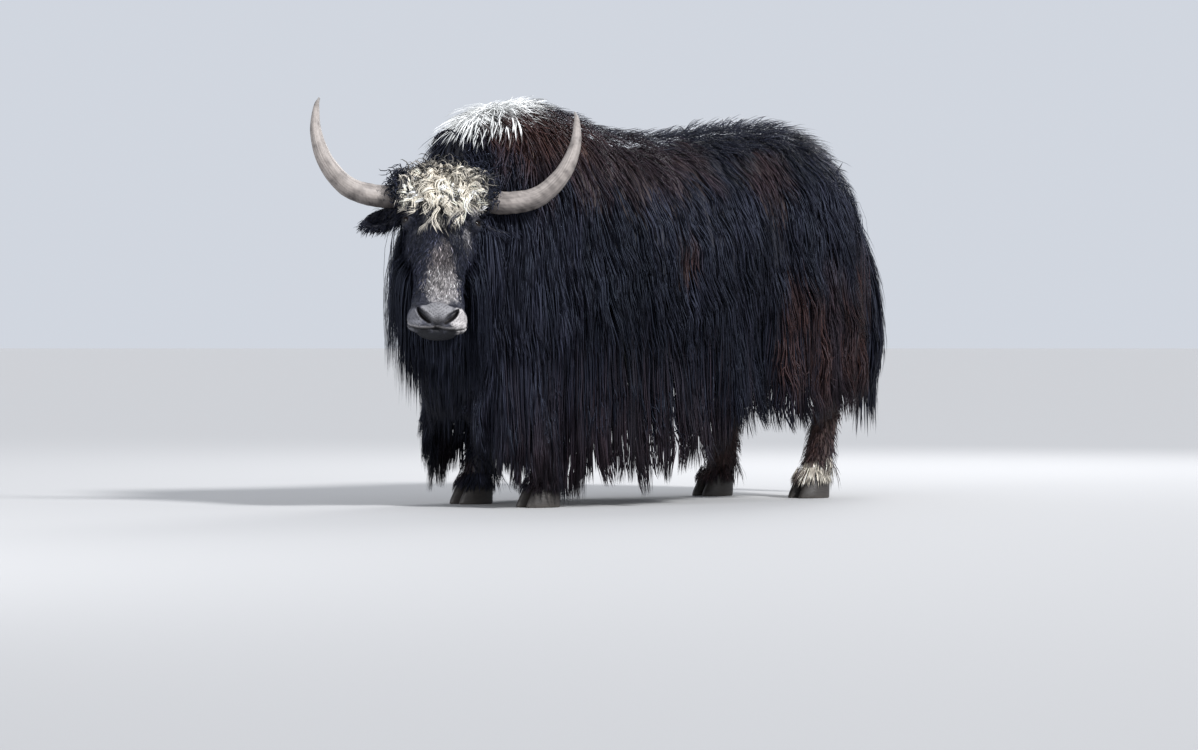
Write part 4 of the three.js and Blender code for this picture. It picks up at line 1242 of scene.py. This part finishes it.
def coatForehead():
    # ringlets: bundles of tufts that turn together, from the poll down over the brow
    pick = np.random.default_rng(700)
    wanted = onSkull & (headX < 0.130) & (headY < 0.01) & (headZ > -0.145 + 0.42 * headX)
    count, middle, out = roots.scatter(forehead, wanted, pick)
    local = toHead(middle)
    x, z = local[:, 0], local[:, 2]
    away = unit(local * np.array([1.1, 0, 1]) + np.array([0, 0, 0.010]))
    swirl = columns(ripple(local, 0.075, 71), 0, ripple(local, 0.075, 72))
    way = unit(away * 0.8 + swirl * 0.8 + np.array([0, 0, -0.45])) @ headAxes.T
    long = pick.uniform(*forehead["long"], count) * mix(1.0, 0.7, ease(0.06, 0.11, np.abs(x)))
    long = long * mix(1.0, 1.6, ease(-0.08, -0.12, z) * ease(0.07, 0.04, np.abs(x - 0.01)))
    rise, phase = pick.uniform(0.30, 0.62, count), pick.uniform(0, 6.28, count)
    turns = np.sign(pick.uniform(-1, 1, count)) * pick.uniform(0.8, 1.5, count)
    tone = np.exp(0.22 * pick.normal(size=count))
    darkShare = 0.08 + 0.45 * ease(-0.085, -0.14, z) + 0.4 * ease(0.100, 0.130, np.abs(x))
    dark = pick.uniform(0, 1, count) < darkShare
    owner = np.repeat(np.arange(count), forehead["each"])
    many = len(owner)
    apart = pick.normal(size=(many, 3)) * forehead["apart"]
    root = middle[owner] + apart - out[owner] * (apart * out[owner]).sum(1, keepdims=True)
    length = long[owner] * pick.uniform(0.8, 1.12, many)
    phase = phase[owner] + 0.16 * pick.normal(size=many)
    out, way, rise, turns = out[owner], way[owner], rise[owner], turns[owner]
    path, out = shortTufts(root, out, way, length, forehead, rise, pick, phase, turns)
    colour = dyed(path, 701, spread=0.12, root=root) * tone[owner][:, None, None]
    loose = dark[owner] | (pick.uniform(0, 1, many) < 0.05)
    colour = np.clip(np.where(loose[:, None, None], colour * 0.10, colour), 0, 0.9)
    width = pick.uniform(*forehead["width"], many)
    growTufts("forehead_curls", path, out, width, headMap(root), colour, curlHair, thick=0.45, blunt=0.35)


topknot = {
    "count": 1200, "steps": 8, "long": (0.04, 0.075), "width": (0.0034, 0.0058), "curl": 0.010, "sag": 0.25,
}


def coatTopknot():
    # black curls that stand round the poll and over the roots of the horns
    pick = np.random.default_rng(710)
    byHorn = near(inHead, (0.115, 0.0, -0.035), (0.075, 0.085, 0.065)) > 0.02
    wanted = (onSkull & (headZ > -0.075) & ((headY > -0.045) | (headZ > 0.0))) | byHorn
    count, root, out = roots.scatter(topknot, wanted, pick)
    way = unit(out + np.array([0, 0, 0.10]) + 0.6 * pick.normal(size=root.shape))
    length = pick.uniform(*topknot["long"], count) * mix(1.25, 0.5, ease(0.01, -0.08, toHead(root)[:, 2]))
    path, out = shortTufts(root, out, way, length, topknot, pick.uniform(0.35, 0.8, count), pick)
    dark = markings(root)
    dark = np.where(dark.mean(1, keepdims=True) > 0.1, dark * 0.25, dark)
    colour = np.broadcast_to((dark * np.exp(0.5 * pick.normal(size=(count, 1))))[:, None], path.shape)
    width = pick.uniform(*topknot["width"], count)
    growTufts("topknot", path, out, width, headMap(root), colour, curlHair, thick=0.5, blunt=0.35)


face = {"count": 6200, "steps": 4, "width": (0.0019, 0.0034), "curl": 0.0022, "sag": 0.1}


def coatFace():
    # short hair, longest on the bridge of the nose and finest on the muzzle
    pick = np.random.default_rng(720)
    local, slit, across = eyeOpening(inHead)
    byEye = (slit < 1.22) & (local @ eyeWay > 0)
    pad = near(inHead, (0, -0.085, -0.530), (0.084, 0.055, 0.052)) > 0
    lips = headZ < -0.566 + 0.35 * (headY + 0.05)
    wanted = onSkull & (headZ < -0.09) & (headY < 0.10) & ~byEye & ~pad & ~lips
    wanted = wanted * (1 + 1.6 * (near(inHead, eyeFront, (0.042, 0.042, 0.038)) > 0))
    wanted = wanted * mix(1.0, 1.5, ease(-0.20, -0.32, headZ)) * mix(1, 0.45, ease(-0.03, 0.05, headY))
    count, root, out = roots.scatter(face, wanted, pick)
    local = toHead(root)
    side = columns(np.sign(local[:, 0]), 1, 1)
    away = (local * side - eyeFront) * side
    fromEye = np.linalg.norm(away, axis=1)
    down = unit(columns(local[:, 0] * 3.5 + 0.5 * ripple(local, 0.09, 74), 0.35, -1))
    way = mix(down, unit(away), ease(0.050, 0.022, fromEye)[:, None]) @ headAxes.T
    small = ease(-0.40, -0.50, local[:, 2])
    length = mix(pick.uniform(0.016, 0.030, count), pick.uniform(0.004, 0.009, count), small)
    length = length * mix(0.30, 1.0, ease(0.020, 0.055, fromEye))
    path, out = shortTufts(root, out, way, length, face, mix(0.50, 0.25, small), pick)
    width = pick.uniform(*face["width"], count) * mix(1, 0.6, small)
    colour = dyed(path, 721, spread=0.75, root=root + 0.010 * pick.normal(size=root.shape))
    growTufts("face_hair", path, out, width, headMap(root), colour, shortHair)


lashes = {"count": 90, "steps": 5, "long": (0.010, 0.017), "width": (0.0010, 0.0018), "sag": 0.1, "off": 1.04}


def coatLashes():
    # on the edge of each upper lid, out and a little down
    pick = np.random.default_rng(730)
    a = pick.uniform(0.35, 2.75, (2, lashes["count"]))
    along = lashes["off"] * eyes["long"] * np.cos(a)
    across = lashes["off"] * eyes["tall"] * np.sin(a) - eyes["low"]
    flat, up = swung(along, across, -eyes["tilt"])
    ahead = np.sqrt((eyes["radius"] + 0.0030) ** 2 - flat**2 - up**2)
    off = flat[..., None] * eyeBack + up[..., None] * np.array([0, 0, 1]) + ahead[..., None] * eyeWay
    side = np.array([[[-1, 1, 1]], [[1, 1, 1]]])
    root = fromHead(((eyeSpot + off) * side).reshape(-1, 3))
    out = unit((unit(off) * side).reshape(-1, 3) @ headAxes.T)
    length = pick.uniform(*lashes["long"], len(root))
    way = out * 0.5 + np.array([0, 0, -1.0]) + 0.2 * pick.normal(size=root.shape)
    path, out = shortTufts(root, out, way, length, lashes, 1.1, pick)
    width = pick.uniform(*lashes["width"], len(root))
    growTufts("eye_lashes", path, out, width, headMap(root), dyed(path, 731, root=root) * 0.6, shortHair)


coatForehead()
coatTopknot()
coatFace()
coatLashes()


def fallFree(root, out, length, look, pick):
    # hair that leaves the skin and hangs, its tips gathered to points on a grid of locks
    stride = (length / (look["steps"] - 1))[:, None]
    path = [root - out * 0.006]
    way = unit(out + 0.25 * pick.normal(size=root.shape))
    for k in range(look["steps"] - 1):
        weight = look["stiff"] * math.exp(-k * 0.9)
        sway = 0.07 * ripple(path[-1], 0.16, 40 + k)[:, None] * np.array([0.7, 0.7, 0])
        way = unit(way * weight + np.array([0, 0, -1.0]) * (1 - weight) + sway + way * 0.12)
        path.append(path[-1] + way * stride)
    path = np.stack(path, axis=1)
    tips = path[:, -1, :2]
    cell = np.floor(tips / look["locks"])
    target = cell + 0.5 + 0.4 * (hashed(cell @ np.array([[1.0, 7.0], [3.0, 1.0]]), 5) - 0.5)
    s = np.linspace(0, 1, look["steps"])[None, :, None]
    path[..., :2] += (target * look["locks"] - tips)[:, None] * s**2 * 0.5
    return path, np.broadcast_to(unit(out * np.array([1, 1, 0.15]))[:, None], path.shape)


beard = {"count": 3200, "steps": 6, "width": (0.0040, 0.0070), "stiff": 0.40, "locks": 0.017}


def coatBeard():
    # long hair from the cheeks, the jaw and the chin
    pick = np.random.default_rng(800)
    front = mix(0.045, 0.010, ease(-0.22, -0.30, headZ)) + 0.11 * ease(-0.32, -0.50, headZ)
    cheek = between(headX, 0.045, 0.120) & between(headY, front, 0.18) & between(headZ, -0.46, -0.075)
    under = (headX < 0.10) & (headY > 0.045) & between(headZ, -0.565, -0.30)
    count, root, out = roots.scatter(beard, cheek + 0.7 * under, pick)
    chin = ease(-0.40, -0.53, toHead(root)[:, 2])
    length = mix(pick.uniform(0.20, 0.42, count), pick.uniform(0.05, 0.15, count), chin)
    path, out = fallFree(root, out, length, beard, pick)
    colour = np.broadcast_to(pelt["black"] * np.exp(0.3 * pick.normal(size=(count, 1, 1))), path.shape)
    growTufts("beard", path, out, pick.uniform(*beard["width"], count), headMap(root), colour)


coatBeard()

hanging = {
    "breech": {"count": 1500, "seed": 650, "long": (0.16, 0.34), "floor": 0.26},
    "brisket": {"count": 1100, "seed": 660, "long": (0.14, 0.28), "floor": 0.16},
}
loose = {"steps": 6, "width": (0.0045, 0.0078), "stiff": 0.50, "locks": 0.045, "shortest": 0.06}


def coatHanging():
    # the haunches on both sides of the tail, and the chest under the mane
    x, y, z = roots.middle.T
    facingBack = roots.out[:, 1]
    atTail = (np.abs(x - 0.01) < 0.05) & (y > 0.94)
    offHead = np.linalg.norm(inHead / np.array([0.15, 0.20, 0.6]), axis=1) > 1.0
    wanted = {
        "breech": (y > 0.62) & between(z, 0.40, 1.20) & (np.abs(x) < 0.25) & (facingBack > 0.12) & ~atTail,
        "brisket": (y < -0.58) & between(z, 0.36, 0.86) & (facingBack < 0.15) & offHead,
    }
    for name, look in hanging.items():
        pick = np.random.default_rng(look["seed"])
        count, root, out = roots.scatter(look, wanted[name], pick)
        longest = np.maximum(root[:, 2] - look["floor"], loose["shortest"])
        path, out = fallFree(root, out, np.minimum(pick.uniform(*look["long"], count), longest), loose, pick)
        clear = clearOfFace(path)
        path, out, width = path[clear], out[clear], pick.uniform(*loose["width"], count)[clear]
        spot = columns((root[:, 0] + 0.25) / 0.5, (1.2 - root[:, 2]) / 0.9)[clear]
        growTufts(f"{name}_hair", path, out, width, spot, dyed(path, look["seed"] + 1))


coatHanging()

earTufts = {
    "count": 1700, "steps": 4, "long": (0.018, 0.042), "width": (0.0026, 0.0046), "sag": 0.4, "stray": 0.4,
}


def coatEars():
    pick = np.random.default_rng(900)
    wanted = between(headX, 0.126, 0.30) & between(headY, 0.012, 0.16) & between(headZ, -0.24, -0.070)
    count, root, out = roots.scatter(earTufts, wanted, pick)
    x, y, z = toHead(root).T
    way = columns(np.sign(x), 0.1, -0.75) @ headAxes.T
    path, out = shortTufts(root, out, way, pick.uniform(*earTufts["long"], count), earTufts, 0.35, pick)
    spot = columns((np.abs(x) - 0.12) / 0.36 + 0.5 * (x > 0), (y + 0.02) / 0.18)
    growTufts("ear_hair", path, out, pick.uniform(*earTufts["width"], count), spot, dyed(path, 901))


coatEars()

nape = {"count": 1900, "steps": 6, "long": (0.07, 0.15), "width": (0.005, 0.0085), "sag": 0.15}


def coatNape():
    # over the front of the hump and the top of the neck, down toward the poll
    pick = np.random.default_rng(950)
    x, y, z = roots.middle.T
    wanted = (y < -0.62) & (z > mix(0.98, 0.72, ease(0.06, 0.12, np.abs(x)))) & (roots.out[:, 1] < 0.2)
    wanted &= ~((headX < 0.32) & (headY < 0.16) & (headZ < 0.10))
    count, root, out = roots.scatter(nape, wanted, pick)
    x, y, z = root.T
    way, length = columns(np.sign(x) * 0.35 + x, -0.5, -0.9), pick.uniform(*nape["long"], count)
    path, out = shortTufts(root, out, way, length, nape, pick.uniform(0.18, 0.34, count), pick)
    clear = clearOfFace(path)
    path, out, width = path[clear], out[clear], pick.uniform(*nape["width"], clear.sum())
    spot = columns((x + 0.3) / 0.6, (1.45 - z) / 0.5)[clear]
    growTufts("nape_hair", path, out, width, spot, dyed(path, 951))


coatNape()

legHair = {
    "count": 950, "fringe": 360, "steps": 4, "long": (0.026, 0.050), "width": (0.0032, 0.0056),
    "sag": 0.1, "stray": 0.3,
}


def clawFringe(x, y, many, pick):
    # hair that hangs over the claws
    a, top = pick.uniform(0, 2 * math.pi, many), pick.uniform(0.080, 0.112, many)
    c, d = np.cos(a)[:, None], np.sin(a)[:, None]
    s = np.linspace(0, 1, legHair["steps"])[None]
    z = top[:, None] - pick.uniform(0.030, 0.052, many)[:, None] * s
    swell = 0.052 + 0.010 * ease(0.10, 0.06, z) + (0.003 + 0.006 * pick.uniform(0, 1, many)[:, None]) * s
    toe = np.where(d < 0, 0.020, -0.002) * np.abs(d) * s
    path = columns(c * (swell + 0.002) + x, d * (swell + toe) - 0.018 + y, z)
    return path, unit(np.broadcast_to(columns(c, d, 0.3), path.shape))


def coatLeg(name, x, y):
    pick = np.random.default_rng(1000 + len(name) + int(x > 0))
    p = roots.middle
    wanted = (np.abs(p[:, 0] - x) < 0.12) & (np.abs(p[:, 1] - y - 0.03) < 0.16) & (p[:, 2] < 0.46)
    count, root, out = roots.scatter(legHair, wanted * mix(1.6, 0.8, ease(0.1, 0.4, p[:, 2])), pick)
    height = root[:, 2]
    behind = np.clip(out[:, 1], 0, 1)
    fetlock = near(root, (x, y + 0.05, 0.125), (0.07, 0.06, 0.06))
    longer = 1 + 1.2 * behind * ease(0.2, 0.5, height) + 1.4 * fetlock
    length = pick.uniform(*legHair["long"], count) * longer
    way = np.array([0, 0.10, -1.0]) + 0.15 * pick.normal(size=root.shape)
    length = np.minimum(length + 0.012 * ease(0.15, 0.09, height), np.maximum(height - 0.030, 0.010))
    path, out = shortTufts(root, out, way, length, legHair, 0.42, pick)
    fringe, fringeOut = clawFringe(x, y, int(legHair["fringe"] * fullness), pick)
    path, out = np.concatenate([path, fringe]), np.concatenate([out, fringeOut])
    root = np.concatenate([root, fringe[:, 0]])
    spot = columns(np.arctan2(root[:, 0] - x, y - root[:, 1]) / (2 * math.pi) + 0.5, root[:, 2] / 0.55)
    width, colour = pick.uniform(*legHair["width"], len(root)), dyed(path, 1001, spread=0.4)
    growTufts(f"leg_hair_{name}", path, out, width, spot, colour, shortHair)


for name, (x, y, rows) in feet.items():
    coatLeg(name, x, y)


# crest: shaggy tufts along the back, standing most over the loin and rump
crest = {"count": 2800, "steps": 5, "long": (0.06, 0.11), "width": (0.0045, 0.0075), "deep": 0.022}


def coatCrest():
    pick = np.random.default_rng(1100)
    count = int(crest["count"] * fullness)
    u, v = pick.uniform(0.03, 1.0, count), 0.15 * pick.uniform(0, 1, count) ** 1.3
    at, out = flankSurface.read(u, v)
    side = np.where(pick.uniform(0, 1, count) < 0.5, -1.0, 1.0)
    at, out = at * columns(side, 1, 1), out * columns(side, 1, 1)
    backward = ease(0.10, 0.24, u)[:, None] * 2 - 0.8
    way = np.array([0, 1.0, -0.15]) * backward + 0.35 * pick.normal(size=at.shape)
    way = way + out * np.array([2.2, 0, 0])
    shag = ease(0.40, 0.72, u) * ease(1.02, 0.90, u)
    lumps = 0.5 + 0.5 * ripple(columns(u * 40, v * 8), 1.7, 1102)
    length = pick.uniform(*crest["long"], count) * mix(0.85, 1.15, shag * lumps)
    rise = 0.16 + ease(0.20, 0.34, u) * 0.14 + 0.30 * shag * lumps
    path, out = shortTufts(at - out * crest["deep"], out, way, length, crest, rise, pick)
    width, spot = pick.uniform(*crest["width"], count), columns(u, 0.5 + side * v * 3)
    growTufts("crest", path, out, width, spot, dyed(path, 1101))


coatCrest()
print("coat in all:", sum(budget.values()), "triangles")


# floor and light
studio = {
    "size": 400, "floor": (0.40, 0.40, 0.405, 1), "sky": (0.86, 0.91, 1.0, 1), "skyStrength": 0.74, "aim": 0.8,
}
lamps = [  # name, kind, to the right, toward the camera, up, size in metres or degrees, strength
    ("key", "SUN", 4.0, 3.6, 4.8, 9.0, 4.7),
    ("fill", "AREA", -4.5, 4.5, 2.2, 4.0, 160),
    ("rim", "AREA", 2.0, -4.5, 4.0, 2.5, 190),
]


def makeFloor():
    bm = bmesh.new()
    bmesh.ops.create_grid(bm, x_segments=1, y_segments=1, size=studio["size"])
    mesh = meshOf("floor", bm)
    mesh.materials.append(plainMaterial("studio_floor", 0.85, 0.2, {"Base Color": studio["floor"]})[0])
    floor = linked("floor", mesh)


def makeLights():
    world = bpy.data.worlds.new("studio")
    world.use_nodes = True
    ground = world.node_tree.nodes["Background"]
    ground.inputs["Color"].default_value = studio["sky"]
    ground.inputs["Strength"].default_value = studio["skyStrength"]
    bpy.context.scene.world = world
    for name, kind, across, toward, up, size, strength in lamps:
        data = bpy.data.lights.new(name, kind)
        data.energy = strength
        if kind == "SUN":
            data.angle = math.radians(size)
        else:
            data.shape, data.size = "DISK", size
        lamp = linked(name, data)
        lamp.location = Vector(place) + rightward * across + towardShot * toward + skyward * up
        aim = Vector(place) + skyward * studio["aim"] - lamp.location
        lamp.rotation_euler = aim.to_track_quat("-Z", "Y").to_euler()


makeFloor()
makeLights()
bpy.context.scene.view_settings.view_transform = "Standard"
print("floor and light")
